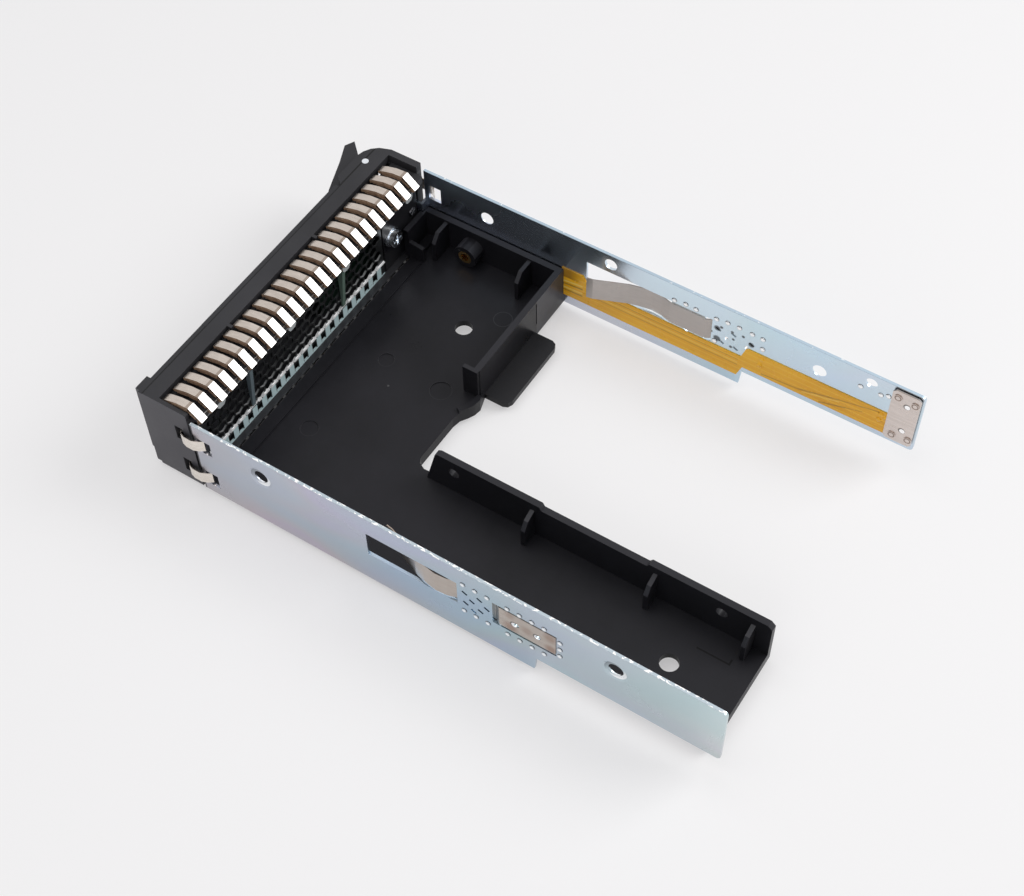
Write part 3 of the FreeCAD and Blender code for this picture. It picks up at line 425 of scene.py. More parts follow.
traySetup = {
    "wall": 0.85,                         # tone of upright faces against the floor's, painted shade
    "rim": (0.031, 0.031, 0.036), "rimShare": 0.7, "rimFrom": 12.0,
    "back": (0.055, 0.055, 0.062), "backShare": 0.9, "backFrom": 24.0, "slit": -36.7,
    "pad": (0.022, 0.022, 0.024), "padShare": 0.8, "padFrom": 24.9, "padTop": 2.5, "padSide": -9.0,
    "ring": (0.040, 0.040, 0.044), "ringShare": 0.55, "ringInside": 0.14, "ringOutside": 0.12,
    "marks": [(-5.4, -3.4, 2.2), (-4.4, 15.0, 3.0), (24.2, -7.4, 2.5), (-34.0, 15.7, 2.6)],
    "trace": (0.0015, 0.0015, 0.0018), "traceShare": 0.9,
    "traces": [(27.7, 28.15, 110.8, 119.8), (26.4, 28.15, 119.4, 119.9)],   # x from, to, y from, to
}


def paintTray(tree, place, colour):
    # painted shade on the walls, darker than the floor, painted light on the tops of the high rims, a painted
    # reflection of the pale ground on the outer rear wall, a darker low part of the bracket pad, moulding
    # marks
    values = traySetup
    x, y, z = axes(tree, place)
    turned = axes(tree, place, "Normal")
    # painted shade: upright faces darker than the floor
    wall = rampFloat(tree, unsigned(tree, turned["Z"]), values["wall"], 1.0, 0.2, 0.8)
    colour = mixColour(tree, 1.0, colour, wall, "MULTIPLY")
    up = greater(tree, turned["Z"], facing)
    # painted light: the tops of the high rims paler
    rim = both(tree, up, greater(tree, z, levelAt(values["rimFrom"])))
    colour = painted(tree, colour, rim, values["rim"], values["rimShare"])
    # painted reflection of the pale ground on the outer rear wall
    back = both(tree, greater(tree, turned["Y"], facing), greater(tree, y, alongAt(values["backFrom"])),
                less(tree, x, values["slit"] * mm))
    colour = painted(tree, colour, back, values["back"], values["backShare"])
    pad = both(tree, up, greater(tree, y, alongAt(values["padFrom"])),
               less(tree, z, levelAt(values["padTop"])), less(tree, x, values["padSide"] * mm))
    colour = painted(tree, colour, pad, values["pad"], values["padShare"])
    for across, along, radius in values["marks"]:
        away = distanceFrom(tree, place, (across, along, 0), (1, 1, 0))
        ring = band(tree, away, (radius - values["ringInside"]) * mm, (radius + values["ringOutside"]) * mm)
        colour = painted(tree, colour, both(tree, ring, up), values["ring"], values["ringShare"])
    for left, right, front, rear in values["traces"]:
        trace = both(tree, band(tree, x, left * mm, right * mm), up,
                     band(tree, y, alongAt(front), alongAt(rear)))
        colour = painted(tree, colour, trace, values["trace"], values["traceShare"])
    return colour


bezelSetup = {
    "groove": (-36.0, -35.5), "grooveFrom": 28.2, "grooveShade": (0.001, 0.001, 0.001), "grooveShare": 0.93,
    "side": (0.076, 0.074, 0.084), "sideFrom": 45.0, "bar": (0.080, 0.080, 0.086), "barTop": 26.9,
    "gussets": [(-12.3, -10.9, (0.13, 0.19, 0.155)), (27.9, 29.3, (0.15, 0.19, 0.21))],
    "gussetBack": -25.5, "gussetLow": 8.0, "gussetHigh": 24.0, "share": 0.9,
}


def paintBezel(tree, place, colour):
    # painted shade in the joint between the lever plate and the bezel's top, painted light on the side and the
    # rear bar, gussets like gun metal
    values = bezelSetup
    x, y, z = axes(tree, place)
    turned = axes(tree, place, "Normal")
    # painted shade in the joint between the lever plate and the bezel's top
    joint = both(tree, band(tree, y, *[alongAt(end) for end in values["groove"]]),
                 greater(tree, z, levelAt(values["grooveFrom"])))
    colour = painted(tree, colour, joint, values["grooveShade"], values["grooveShare"])
    # painted light: the side facing the side lamp is paler
    side = both(tree, greater(tree, turned["X"], facing), greater(tree, x, values["sideFrom"] * mm))
    colour = painted(tree, colour, side, values["side"], values["share"])
    rearPart = greater(tree, y, alongAt(values["gussetBack"]))
    # painted light: the rear bar facing the rear lamp is paler
    bar = both(tree, greater(tree, turned["Y"], facing), rearPart,
               band(tree, z, levelAt(values["gussetHigh"]), levelAt(values["barTop"])))
    colour = painted(tree, colour, bar, values["bar"], values["share"])
    hanging = both(tree, rearPart, band(tree, z, levelAt(values["gussetLow"]), levelAt(values["gussetHigh"])))
    for left, right, tone in values["gussets"]:
        gusset = both(tree, hanging, band(tree, x, left * mm, right * mm))
        colour = painted(tree, colour, gusset, tone, values["share"])
    return colour


# zinc plated rails

railTints = {
    # place along the rail in mm from the front screw: colour of the plating there; the near rail's are kept
    # darker
    #     # than the far rail's, painted shade for the shadowed ground that rail reflects
    "near": [(-20, (0.49, 0.48, 0.55)), (8, (0.52, 0.54, 0.64)), (40, (0.46, 0.54, 0.65)),
             (62, (0.46, 0.56, 0.65)), (82, (0.51, 0.62, 0.67)), (108, (0.54, 0.65, 0.68)),
             (130, (0.66, 0.72, 0.73))],
    "far": [(-20, (0.62, 0.70, 0.82)), (24, (0.66, 0.75, 0.85)), (58, (0.66, 0.80, 0.88)),
            (78, (0.61, 0.755, 0.84)), (102, (0.61, 0.745, 0.87)), (130, (0.62, 0.72, 0.80))],
}
railLooks = {
    # thin film colours, tone of the painted highlight on the sheared edge, how rare its painted glints are,
    # shade low down, places of the countersinks, whether painted shade lies in the joint with the bezel,
    # and dark dots and holes around the spring's tail
    "near": {"film": 0.55, "edge": (0.40, 0.46, 0.50), "sparkle": 0.57, "low": 0.84, "craters": [0.0, 101.6],
             "joint": True, "dots": []},
    "far": {"film": 0.22, "edge": (0.42, 0.52, 0.60), "sparkle": 0.68, "low": 0.95, "craters": [],
            "joint": False,
            "dots": [(73.2, 19.0, 0.5), (76.4, 19.0, 0.5), (79.6, 19.2, 0.5), (76.9, 16.4, 0.45),
                     (76.4, 13.1, 0.5), (70.3, 15.9, 0.5), (72.0, 18.0, 1.0), (72.2, 14.0, 1.1),
                     (82.1, 17.4, 0.9)]},
}
zincSetup = {
    "front": -20, "rear": 130, "drift": 0.10, "lowTop": 9.5, "lowShare": 0.75, "lowTurn": (40, 72),
    "lowFront": (0.60, 0.545, 0.60), "lowRear": (0.47, 0.60, 0.76), "shadeFrom": 4, "shadeTo": 25,
    "films": [(0.00, (0.86, 1.02, 1.00)), (0.30, (1.0, 1.0, 1.0)), (0.48, (1.08, 0.95, 1.02)),
              (0.62, (1.06, 1.0, 0.92)), (0.78, (0.96, 1.05, 0.97)), (1.00, (0.88, 1.0, 1.08))],
    "joint": -20.35, "jointShade": (0.01, 0.01, 0.012), "edgeFrom": 27.0 - 0.12, "glint": (0.98, 0.98, 0.97),
}
craterSetup = {
    "level": 19.5, "bore": 0.0019, "rim": (0.0018, 0.0030), "litFrom": 0.0006, "litTo": 0.0028,
    "unlitFrom": -0.0030, "unlitTo": -0.0004, "lit": (0.93, 0.95, 0.96), "unlit": (0.17, 0.19, 0.21),
    "dark": (0.02, 0.02, 0.025),
}
dotTone = (0.05, 0.045, 0.045)


def paintCrater(tree, place, colour, along):
    # painted highlight on the countersink's lower rim, painted shade on its upper side and in the bore
    values = craterSetup
    x, y, z = axes(tree, place)
    away = distanceFrom(tree, place, (0, along, values["level"]))
    side = minus(tree, minus(tree, y, alongAt(along)), minus(tree, z, levelAt(values["level"])))
    rim = band(tree, away, *values["rim"])
    lit = rampFloat(tree, side, 0.0, 0.9, values["litFrom"], values["litTo"])
    unlit = rampFloat(tree, side, 0.6, 0.0, values["unlitFrom"], values["unlitTo"])
    colour = painted(tree, colour, both(tree, rim, lit), values["lit"])
    colour = painted(tree, colour, both(tree, rim, unlit), values["unlit"])
    return painted(tree, colour, band(tree, away, 0.0, values["bore"]), values["dark"], 0.85)


def plating(tree, place, stops, looks):
    # colour along the rail, a second one low down, film colours in soft patches, and shade below
    values = zincSetup
    x, y, z = axes(tree, place)
    drift = noise(tree, place.outputs["Object"], 26.0, 3.0, 0.5, (1.0, 0.6, 1.5))
    length = rampFloat(tree, y, 0.0, 1.0, alongAt(values["front"]), alongAt(values["rear"]))
    length = maths(tree, "ADD", length, rampFloat(tree, drift, -values["drift"], values["drift"]))
    whole = values["rear"] - values["front"]
    tint = ramp(tree, length, [((at - values["front"]) / whole, tone + (1,)) for at, tone in stops])
    low = rampFloat(tree, z, values["lowShare"], 0.0, levelAt(0), levelAt(values["lowTop"]))
    lower = mixColour(tree, rampFloat(tree, y, 0.0, 1.0, *[alongAt(turn) for turn in values["lowTurn"]]),
                      values["lowFront"] + (1,), values["lowRear"] + (1,))
    colour = mixColour(tree, both(tree, low, rampFloat(tree, drift, 0.45, 1.0)), tint, lower)
    film = noise(tree, place.outputs["Object"], 34.0, 2.0, 0.4, (1.0, 0.5, 1.2))
    patch = ramp(tree, rampFloat(tree, film, 0.0, 1.0), [(at, tone + (1,)) for at, tone in values["films"]])
    colour = mixColour(tree, looks["film"], colour, patch, "MULTIPLY")
    shade = rampFloat(tree, z, looks["low"], 1.0, levelAt(values["shadeFrom"]), levelAt(values["shadeTo"]))
    return mixColour(tree, 1.0, colour, shade, "MULTIPLY")


def zincMaterial(name, stops, looks):
    values = zincSetup
    material, tree, shader, place = startMaterial(name, 0.25, 1.0)
    node = addGrain(tree, place, 2600.0, 26.0)
    colour = plating(tree, place, stops, looks)
    for along in looks["craters"]:
        colour = paintCrater(tree, place, colour, along)
    for along, level, radius in looks["dots"]:
        away = distanceFrom(tree, place, (0, along, level))
        dot = rampFloat(tree, away, 0.85, 0.0, radius * 0.7 * mm, radius * 1.15 * mm)
        colour = painted(tree, colour, dot, dotTone)
    # painted shade of the gap between the rail's front end and the bezel
    if looks["joint"]:
        joint = less(tree, axes(tree, place)["Y"], alongAt(values["joint"]))
        colour = painted(tree, colour, joint, values["jointShade"], 0.92)
    edge = tree.nodes.new("ShaderNodeGroup")
    edge.node_tree = sheared
    edge.inputs["Level"].default_value = levelAt(values["edgeFrom"])
    edge.inputs["Sparkle"].default_value = looks["sparkle"]
    link(tree, place.outputs["Object"], edge.inputs["Vector"])
    # painted highlight along the sheared top edge, and painted glints on it
    colour = painted(tree, colour, edge.outputs["Edge"], looks["edge"])
    colour = painted(tree, colour, edge.outputs["Glint"], values["glint"])
    link(tree, colour, shader.inputs["Base Color"])
    rough = maths(tree, "ADD", rampFloat(tree, node.outputs["Cloud"], 0.20, 0.32),
                  faded(tree, edge.outputs["Edge"], 0.25))
    link(tree, rough, shader.inputs["Roughness"])
    link(tree, minus(tree, 1.0, faded(tree, edge.outputs["Glint"], 0.7)), shader.inputs["Metallic"])
    addBump(tree, shader, node.outputs["Grain"], 0.12, 0.00004)
    return material


# nickel and steel strips

fingerSetup = {
    "face": (0.56, 0.50, 0.445), "pale": (0.66, 0.595, 0.53), "side": (0.44, 0.30, 0.20),
    "deep": (0.26, 0.165, 0.11), "bend": (0.34, 0.275, 0.225), "slope": (0.50, 0.49, 0.475),
    "tab": (0.66, 0.70, 0.70), "hidden": (0.02, 0.02, 0.022), "rough": 0.27,
    "bendFrom": -23.1, "slopeFrom": -22.25, "tabBelow": 25.3,
}
foldLook = {
    "tone": (0.56, 0.39, 0.27), "deep": (0.34, 0.22, 0.15), "under": (0.03, 0.024, 0.02),
}
stripLook = {
    "edge": (0.24, 0.18, 0.14), "stain": (0.26, 0.13, 0.08), "ring": (0.16, 0.10, 0.07),
    "ringRadius": (0.00062, 0.00096), "shaded": (0.10, 0.09, 0.085), "lit": (1.0, 1.0, 1.0),
    "holeRim": 0.22, "holeShift": (0.14, -0.12),
}


def stripBase(name, face, pale, rough, streak):
    material, tree, shader, place = startMaterial(name, rough, 1.0)
    node = addGrain(tree, place, 5000.0, 120.0)
    lines = noise(tree, place.outputs["Object"], 1500.0, 3.0, 0.6, streak)
    colour = mixColour(tree, rampFloat(tree, lines, 0.0, 1.0), face + (1,), pale + (1,))
    link(tree, rampFloat(tree, node.outputs["Cloud"], rough * 0.8, rough * 1.25), shader.inputs["Roughness"])
    addBump(tree, shader, lines, 0.10, 0.00003)
    return material, tree, shader, place, colour


def fingerMaterial(name, inner=False):
    # plated strip: beige top, darker bend, bright rear slope, brown sheared sides
    values = fingerSetup
    material, tree, shader, place, colour = stripBase(name, values["face"], values["pale"], values["rough"],
                                                      (1.0, 0.06, 1.0))
    x, y, z = axes(tree, place)
    turned = axes(tree, place, "Normal")
    slopeStart = alongAt(values["slopeFrom"])
    bend = band(tree, y, alongAt(values["bendFrom"]), slopeStart)
    colour = painted(tree, colour, bend, values["bend"], 0.8)
    slope = greater(tree, y, slopeStart)
    colour = painted(tree, colour, slope, values["slope"])
    tab = both(tree, slope, less(tree, z, levelAt(values["tabBelow"])))
    colour = painted(tree, colour, tab, values["tab"])
    sideways = greater(tree, unsigned(tree, turned["X"]), facing)
    layers = noise(tree, place.outputs["Object"], 700.0, 2.0, 0.5, (0.2, 1.0, 1.0))
    brown = mixColour(tree, rampFloat(tree, layers, 0.0, 1.0), values["deep"] + (1,), values["side"] + (1,))
    colour = mixColour(tree, sideways, colour, brown)
    soft = either(tree, sideways, faded(tree, tab, 0.7))
    if inner:
        # the low strip's back lies in the shade of the bezel
        shaded = either(tree, greater(tree, turned["Y"], 0.5), greater(tree, turned["Z"], 0.5))
        colour = painted(tree, colour, shaded, values["hidden"])
        soft = either(tree, soft, shaded)
    link(tree, colour, shader.inputs["Base Color"])
    link(tree, minus(tree, 1.0, soft), shader.inputs["Metallic"])
    return material


def foldMaterial(name):
    # brown sheared edge of the under layer, painted shade where it faces up or down in the gaps between the
    # fingers
    values = foldLook
    material, tree, shader, place = startMaterial(name, 0.42)
    turned = axes(tree, place, "Normal")
    layers = noise(tree, place.outputs["Object"], 900.0, 2.0, 0.5, (0.2, 1.0, 1.0))
    colour = mixColour(tree, rampFloat(tree, layers, 0.0, 1.0), values["deep"] + (1,), values["tone"] + (1,))
    sideways = greater(tree, unsigned(tree, turned["X"]), facing)
    colour = mixColour(tree, sideways, values["under"] + (1,), colour)
    link(tree, colour, shader.inputs["Base Color"])
    fine = noise(tree, place.outputs["Object"], 3000.0, 2.0, 0.6)
    link(tree, rampFloat(tree, fine, 0.36, 0.50), shader.inputs["Roughness"])
    shader.inputs["Specular IOR Level"].default_value = 0.3
    return material


def springMaterial(name, face, pale, rough, spots=(), rings=(), holes=()):
    # bright spring strip with darker sheared edges and tarnish spots
    values = stripLook
    material, tree, shader, place, colour = stripBase(name, face, pale, rough, (1.0, 0.08, 1.0))
    turned = axes(tree, place, "Normal")
    edgeOn = greater(tree, unsigned(tree, turned["Z"]), facing)
    colour = painted(tree, colour, edgeOn, values["edge"], 0.6)
    for along, level, wide, strength in spots:
        away = distanceFrom(tree, place, (0, along, level))
        stain = rampFloat(tree, away, strength, 0.0, wide * 0.35 * mm, wide * mm)
        colour = painted(tree, colour, stain, values["stain"])
    for along, level in rings:
        ring = band(tree, distanceFrom(tree, place, (0, along, level)), *values["ringRadius"])
        colour = painted(tree, colour, ring, values["ring"], 0.75)
    for along, level, radius in holes:
        # a hole through which the bright ground shows, shaded at its upper front rim
        away = distanceFrom(tree, place, (0, along, level))
        shaded = band(tree, away, 0.0, (radius + values["holeRim"]) * mm)
        colour = painted(tree, colour, shaded, values["shaded"], 0.8)
        back, down = values["holeShift"]
        inside = distanceFrom(tree, place, (0, along + back, level + down))
        colour = painted(tree, colour, band(tree, inside, 0.0, radius * mm), values["lit"])
    link(tree, colour, shader.inputs["Base Color"])
    return material


def metalMaterial(name, face, pale, rough, grainScale=3000.0):
    material, tree, shader, place = startMaterial(name, rough, 1.0)
    node = addGrain(tree, place, grainScale, 150.0)
    cloud = node.outputs["Cloud"]
    colour = mixColour(tree, rampFloat(tree, cloud, 0.0, 1.0), face + (1,), pale + (1,))
    link(tree, colour, shader.inputs["Base Color"])
    link(tree, rampFloat(tree, cloud, rough * 0.8, rough * 1.3), shader.inputs["Roughness"])
    addBump(tree, shader, node.outputs["Grain"], 0.10, 0.00003)
    return material


# vent plate, beads and flex circuit

ventSetup = {
    "web": (0.070, 0.075, 0.080), "webPale": (0.15, 0.155, 0.16), "rim": (0.90, 0.92, 0.92),
    "square": (0.60, 0.77, 0.79), "slot": (0.006, 0.008, 0.009), "upper": (0.03, 0.035, 0.035),
    "ledge": (1.0, 1.0, 1.0), "ledgeLow": 7.75, "ledgeHigh": 8.6, "rimTop": 14.5,
    "squareLow": 3.9, "squareHigh": 7.4, "slotStart": -27.35, "slotPitch": 4.05, "slotShare": 0.52,
}


def ventMaterial(name):
    # dark sheet, painted highlights on the cell edges low down, a painted highlight on the folded edge, grey
    # squares between the slots as painted reflection with painted shade in the slots
    values = ventSetup
    material, tree, shader, place = startMaterial(name, 0.30, 1.0)
    node = addGrain(tree, place, 3000.0, 150.0)
    cloud = node.outputs["Cloud"]
    x, y, z = axes(tree, place)
    turned = axes(tree, place, "Normal")
    ledgeLow, ledgeHigh = levelAt(values["ledgeLow"]), levelAt(values["ledgeHigh"])
    squareLow, squareHigh = levelAt(values["squareLow"]), levelAt(values["squareHigh"])
    # painted highlight on the upward inner edges of the cells, fading upwards
    low = both(tree, greater(tree, turned["Z"], 0.35),
               rampFloat(tree, z, 1.0, 0.12, ledgeHigh, levelAt(values["rimTop"])))
    colour = mixColour(tree, rampFloat(tree, cloud, 0.0, 1.0), values["web"] + (1,), values["webPale"] + (1,))
    colour = painted(tree, colour, low, values["rim"], 0.9)
    # grey squares between the slots: a painted reflection; the slots get painted shade
    shifted = minus(tree, x, values["slotStart"] * mm)
    steps = maths(tree, "FRACT", maths(tree, "MULTIPLY", shifted, 1 / (values["slotPitch"] * mm)))
    slot = both(tree, less(tree, steps, values["slotShare"]), band(tree, z, squareLow, squareHigh))
    square = mixColour(tree, slot, values["square"] + (1,), values["slot"] + (1,))
    # painted shade under the folded edge
    square = painted(tree, square, greater(tree, z, squareHigh), values["upper"])
    strip = band(tree, z, levelAt(0), ledgeLow)
    colour = mixColour(tree, strip, colour, square)
    # painted highlight along the folded edge
    ledge = band(tree, z, ledgeLow, ledgeHigh)
    colour = painted(tree, colour, ledge, values["ledge"])
    link(tree, colour, shader.inputs["Base Color"])
    dull = either(tree, strip, ledge, low)
    link(tree, minus(tree, 1.0, faded(tree, dull, 0.9)), shader.inputs["Metallic"])
    link(tree, rampFloat(tree, cloud, 0.24, 0.38), shader.inputs["Roughness"])
    addBump(tree, shader, node.outputs["Grain"], 0.10, 0.00003)
    return material


beadHighlightAndShade = [(0.0, (0.01, 0.01, 0.014, 1)), (0.66, (0.03, 0.034, 0.04, 1)), (0.80, (0.75, 0.78, 0.80, 1)),
             (1.0, (0.98, 0.99, 1.0, 1))]


def beadMaterial(name):
    # small pressed beads: painted highlight on the crown, painted shade at the foot
    material, tree, shader, place = startMaterial(name, 0.16, 1.0)
    turned = axes(tree, place, "Normal")
    link(tree, ramp(tree, unsigned(tree, turned["X"]), beadHighlightAndShade), shader.inputs["Base Color"])
    fine = noise(tree, place.outputs["Object"], 2600.0, 2.0, 0.6)
    link(tree, rampFloat(tree, fine, 0.12, 0.22), shader.inputs["Roughness"])
    return material


flexSetup = {
    "deep": (0.78, 0.365, 0.010), "pale": (0.97, 0.51, 0.020), "trace": (1.0, 0.62, 0.06),
    "creaseShade": (0.20, 0.105, 0.02), "highlight": (1.0, 0.78, 0.20), "shaded": (0.22, 0.10, 0.012),
    "tracePitch": 0.0019, "traceFrom": 0.80, "traceShare": 0.45,
    "creases": [
        # along and level of both ends, half width, strength
        (86.0, 8.3, 96.8, 9.2, 0.22, 0.5), (96.8, 9.2, 108.5, 12.3, 0.26, 0.6),
        (108.5, 12.3, 119.5, 14.8, 0.22, 0.5), (103.0, 7.9, 110.5, 10.4, 0.26, 0.6),
        (110.5, 10.4, 115.0, 11.8, 0.20, 0.4), (33.0, 7.6, 79.0, 7.6, 0.14, 0.45),
        (40.0, 9.7, 79.0, 9.7, 0.14, 0.45), (24.0, 8.0, 31.0, 8.7, 0.3, 0.7),
        (24.0, 5.6, 31.0, 6.0, 0.3, 0.6)],
    "highlightLines": [
        (24.0, 9.1, 31.0, 9.9, 0.25, 0.8), (24.0, 6.6, 31.0, 7.0, 0.25, 0.7),
        (33.0, 8.6, 79.0, 8.6, 0.16, 0.5), (98.0, 8.8, 108.5, 11.5, 0.20, 0.5)],
    "shadeFront": 27, "shadeEnd": 31.0, "shadeFrom": 10.8,
}


def foldLine(tree, y, z, front, low, rear, high, width, strength):
    # a fold line between two spots of the film
    line = rampFloat(tree, y, levelAt(low), levelAt(high), alongAt(front), alongAt(rear))
    off = unsigned(tree, minus(tree, z, line))
    return both(tree, rampFloat(tree, off, strength, 0.0, width * 0.3 * mm, width * 1.6 * mm),
                band(tree, y, alongAt(front), alongAt(rear)))


def flexMaterial(name):
    values = flexSetup
    material, tree, shader, place = startMaterial(name, 0.28)
    node = addGrain(tree, place, 3000.0, 70.0)
    x, y, z = axes(tree, place)
    waves = maths(tree, "SINE", maths(tree, "MULTIPLY", z, 2 * math.pi / values["tracePitch"]))
    drift = noise(tree, place.outputs["Object"], 40.0, 4.0, 0.6, (1.0, 0.5, 2.0))
    colour = mixColour(tree, rampFloat(tree, drift, 0.0, 1.0), values["deep"] + (1,), values["pale"] + (1,))
    traces = greater(tree, waves, values["traceFrom"])
    colour = painted(tree, colour, traces, values["trace"], values["traceShare"])
    near = rampFloat(tree, y, 0.75, 0.0, alongAt(values["shadeFront"]), alongAt(values["shadeEnd"]))
    shade = both(tree, near, greater(tree, z, levelAt(values["shadeFrom"])))
    colour = painted(tree, colour, shade, values["shaded"])
    # painted shade along the creases, painted highlights along the bright lines beside them
    for lines, tone in ((values["creases"], values["creaseShade"]), (values["highlightLines"], values["highlight"])):
        for entry in lines:
            colour = painted(tree, colour, foldLine(tree, y, z, *entry), tone)
    link(tree, colour, shader.inputs["Base Color"])
    link(tree, rampFloat(tree, node.outputs["Cloud"], 0.20, 0.34), shader.inputs["Roughness"])
    shader.inputs["Specular IOR Level"].default_value = 0.3
    shader.inputs["Coat Weight"].default_value = 0.12
    shader.inputs["Coat Roughness"].default_value = 0.15
    addBump(tree, shader, waves, 0.12, 0.00008)
    return material


# the finishes and which piece has which

# along, level and width of a tarnish spot and its strength
tailSpots = [(73.2, 13.6, 2.6, 0.55), (84.4, 13.4, 2.2, 0.6), (84.2, 18.2, 2.4, 0.5), (77.8, 15.8, 2.2, 0.35),
             (73.0, 18.6, 1.8, 0.35)]
tailHoles = [(74.2, 15.6, 0.85), (80.5, 15.6, 0.85)]
plateRings = [(123.3, 24.0), (128.0, 23.6), (123.9, 9.2), (128.3, 9.6)]
plateHoles = [(126.0, 21.9, 0.75), (126.2, 12.2, 0.75)]

finishes = {
    "tray": plasticMaterial("trayPlastic", (0.0095, 0.0095, 0.0116), (0.0168, 0.0164, 0.0200), 0.32, 0.46,
                            grainScale=3000.0, bump=0.22, specks=0.12, specular=0.17, paint=paintTray,
                            edge=(0.040, 0.040, 0.046)),
    "charcoal": plasticMaterial("charcoalPlastic", (0.024, 0.024, 0.027), (0.036, 0.036, 0.040), 0.40, 0.52,
                                grainScale=4200.0, bump=0.35, paint=paintBezel, edge=(0.100, 0.104, 0.115)),
    "housing": plasticMaterial("housingPlastic", (0.0085, 0.0085, 0.0100), (0.0165, 0.016, 0.0185),
                               0.30, 0.44, grainScale=3000.0, bump=0.22),
    "frost": plasticMaterial("frostedPlastic", (0.62, 0.64, 0.66), (0.72, 0.74, 0.76), 0.40, 0.50),
    "lamp": plasticMaterial("lampPlastic", (0.60, 0.60, 0.50), (0.75, 0.74, 0.62), 0.25, 0.35),
    "board": plasticMaterial("boardGreen", (0.003, 0.010, 0.006), (0.005, 0.016, 0.009), 0.30, 0.42),
    "zincNear": zincMaterial("zincPlateNear", railTints["near"], railLooks["near"]),
    "zincFar": zincMaterial("zincPlateFar", railTints["far"], railLooks["far"]),
    "finger": fingerMaterial("fingerNickel"),
    "fold": foldMaterial("fingerFold"),
    "fingerLow": fingerMaterial("fingerNickelLow", inner=True),
    "spring": springMaterial("springNickel", (0.76, 0.70, 0.63), (0.86, 0.80, 0.73), 0.25),
    "leafNear": springMaterial("leafSteelNear", (0.46, 0.405, 0.36), (0.53, 0.47, 0.42), 0.30,
                               spots=tailSpots, holes=tailHoles),
    "leafFar": springMaterial("leafSteelFar", (0.41, 0.38, 0.36), (0.455, 0.42, 0.40), 0.30),
    "plate": springMaterial("plateSteel", (0.60, 0.535, 0.50), (0.68, 0.61, 0.575), 0.26,
                            rings=plateRings, holes=plateHoles),
    "vent": ventMaterial("ventSheet"),
    "steel": metalMaterial("screwSteel", (0.80, 0.85, 0.90), (0.94, 0.97, 1.0), 0.20),
    "blackSteel": metalMaterial("screwBlack", (0.05, 0.05, 0.055), (0.10, 0.10, 0.11), 0.22),
    "brass": metalMaterial("insertBrass", (0.72, 0.42, 0.12), (0.88, 0.60, 0.24), 0.24),
    "bead": beadMaterial("beadZinc"),
    "flex": flexMaterial("flexAmber"),
}

nodeFinish = {
    "drive_tray": "tray",
    "bezel_housing": "charcoal", "handle_lever": "charcoal", "release_button": "charcoal",
    "ring_cap": "charcoal",
    "indicator_housing": "housing",
    "light_ring": "frost", "light_pipe": "frost",
    "status_lamps": "lamp",
    "indicator_board": "board",
    "right_rail": "zincNear", "left_rail": "zincFar",
    "top_fingers_near": "finger", "top_fingers_middle": "finger", "top_fingers_far": "finger",
    "bottom_fingers": "fingerLow",
    "right_side_springs": "spring", "left_side_springs": "spring",
    "right_leaf_spring": "leafNear", "left_leaf_spring": "leafFar",
    "contact_plate": "plate", "contact_rivets": "plate",
    "vent_plate": "vent",
    "module_screw": "steel", "hinge_pin": "steel", "lever_spring": "steel", "button_spring": "steel",
    "threaded_insert": "brass",
    "flex_circuit": "flex",
}

for name, key in nodeFinish.items():
    data = nodes[name].data
    if not data.materials:
        data.materials.append(finishes[key])
    for slotIndex in range(len(data.materials)):
        data.materials[slotIndex] = finishes[key]
print("finishes given")

# pieces of the scene's own, and merged copies of CAD nodes

mergeReach = 2e-6


def bodyOf(name):
    for body, members in frame["record"]["behaviour"]["bodies"].items():
        if name in members:
            return body


def mergedWork(name):
    work = bmesh.new()
    work.from_mesh(nodes[name].data)
    bmesh.ops.remove_doubles(work, verts=work.verts, dist=mergeReach)
    return work


def addPiece(name, work, finish, body):
    mesh = bpy.data.meshes.new(name)
    work.to_mesh(mesh)
    work.free()
    stored = mesh.attributes.get("custom_normal")
    if stored:
        mesh.attributes.remove(stored)
    mesh.materials.append(finishes[finish])
    piece = bpy.data.objects.new(name, mesh)
    bpy.context.scene.collection.objects.link(piece)
    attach(piece, body)
    return piece


# moulded pieces whose edges are softened

softened = {
    # node: edge radius in mm, segments, smallest angle in degrees
    "drive_tray": (0.22, 2, 28),
    "bezel_housing": (0.28, 2, 28),
    "handle_lever": (0.25, 2, 28),
    "release_button": (0.25, 2, 28),
    "indicator_housing": (0.20, 2, 28),
}
shadingSetup = {
    # angles in degrees: a sharp edge, and up to which faces are merged into one
    "sharp": 30, "merged": 1.0,
    # a flat face turns less than this towards a neighbour or is larger than this, a round turns less than that
    "flatTurn": 0.006, "flatArea": 12e-6, "roundTurn": 0.5,
    "open": 9.0,                          # stands for the angle at an edge with one face
}
sunkMark = {"low": (27.9, 96.3, 2.9), "high": (41.1, 102.5, 3.3), "rise": 0.4}


def levelMark(work):
    # one shallow mark of the floor is levelled, its line is painted where the photo has it
    low, high = spot(*sunkMark["low"]), spot(*sunkMark["high"])
    sunk = [vert for vert in work.verts if all(low[i] < vert.co[i] < high[i] for i in range(3))]
    bmesh.ops.translate(work, vec=(0, 0, sunkMark["rise"] * mm), verts=sunk)
    bmesh.ops.remove_doubles(work, verts=work.verts, dist=mergeReach)


def curvedFaces(work):
    # only small faces that turn a little towards every neighbour belong to a round
    values = shadingSetup
    curved = []
    for facet in work.faces:
        turns = [edge.calc_face_angle(values["open"]) for edge in facet.edges]
        flat = any(turn < values["flatTurn"] for turn in turns) or facet.calc_area() > values["flatArea"]
        curved.append(not flat and any(turn < values["roundTurn"] for turn in turns))
    return curved


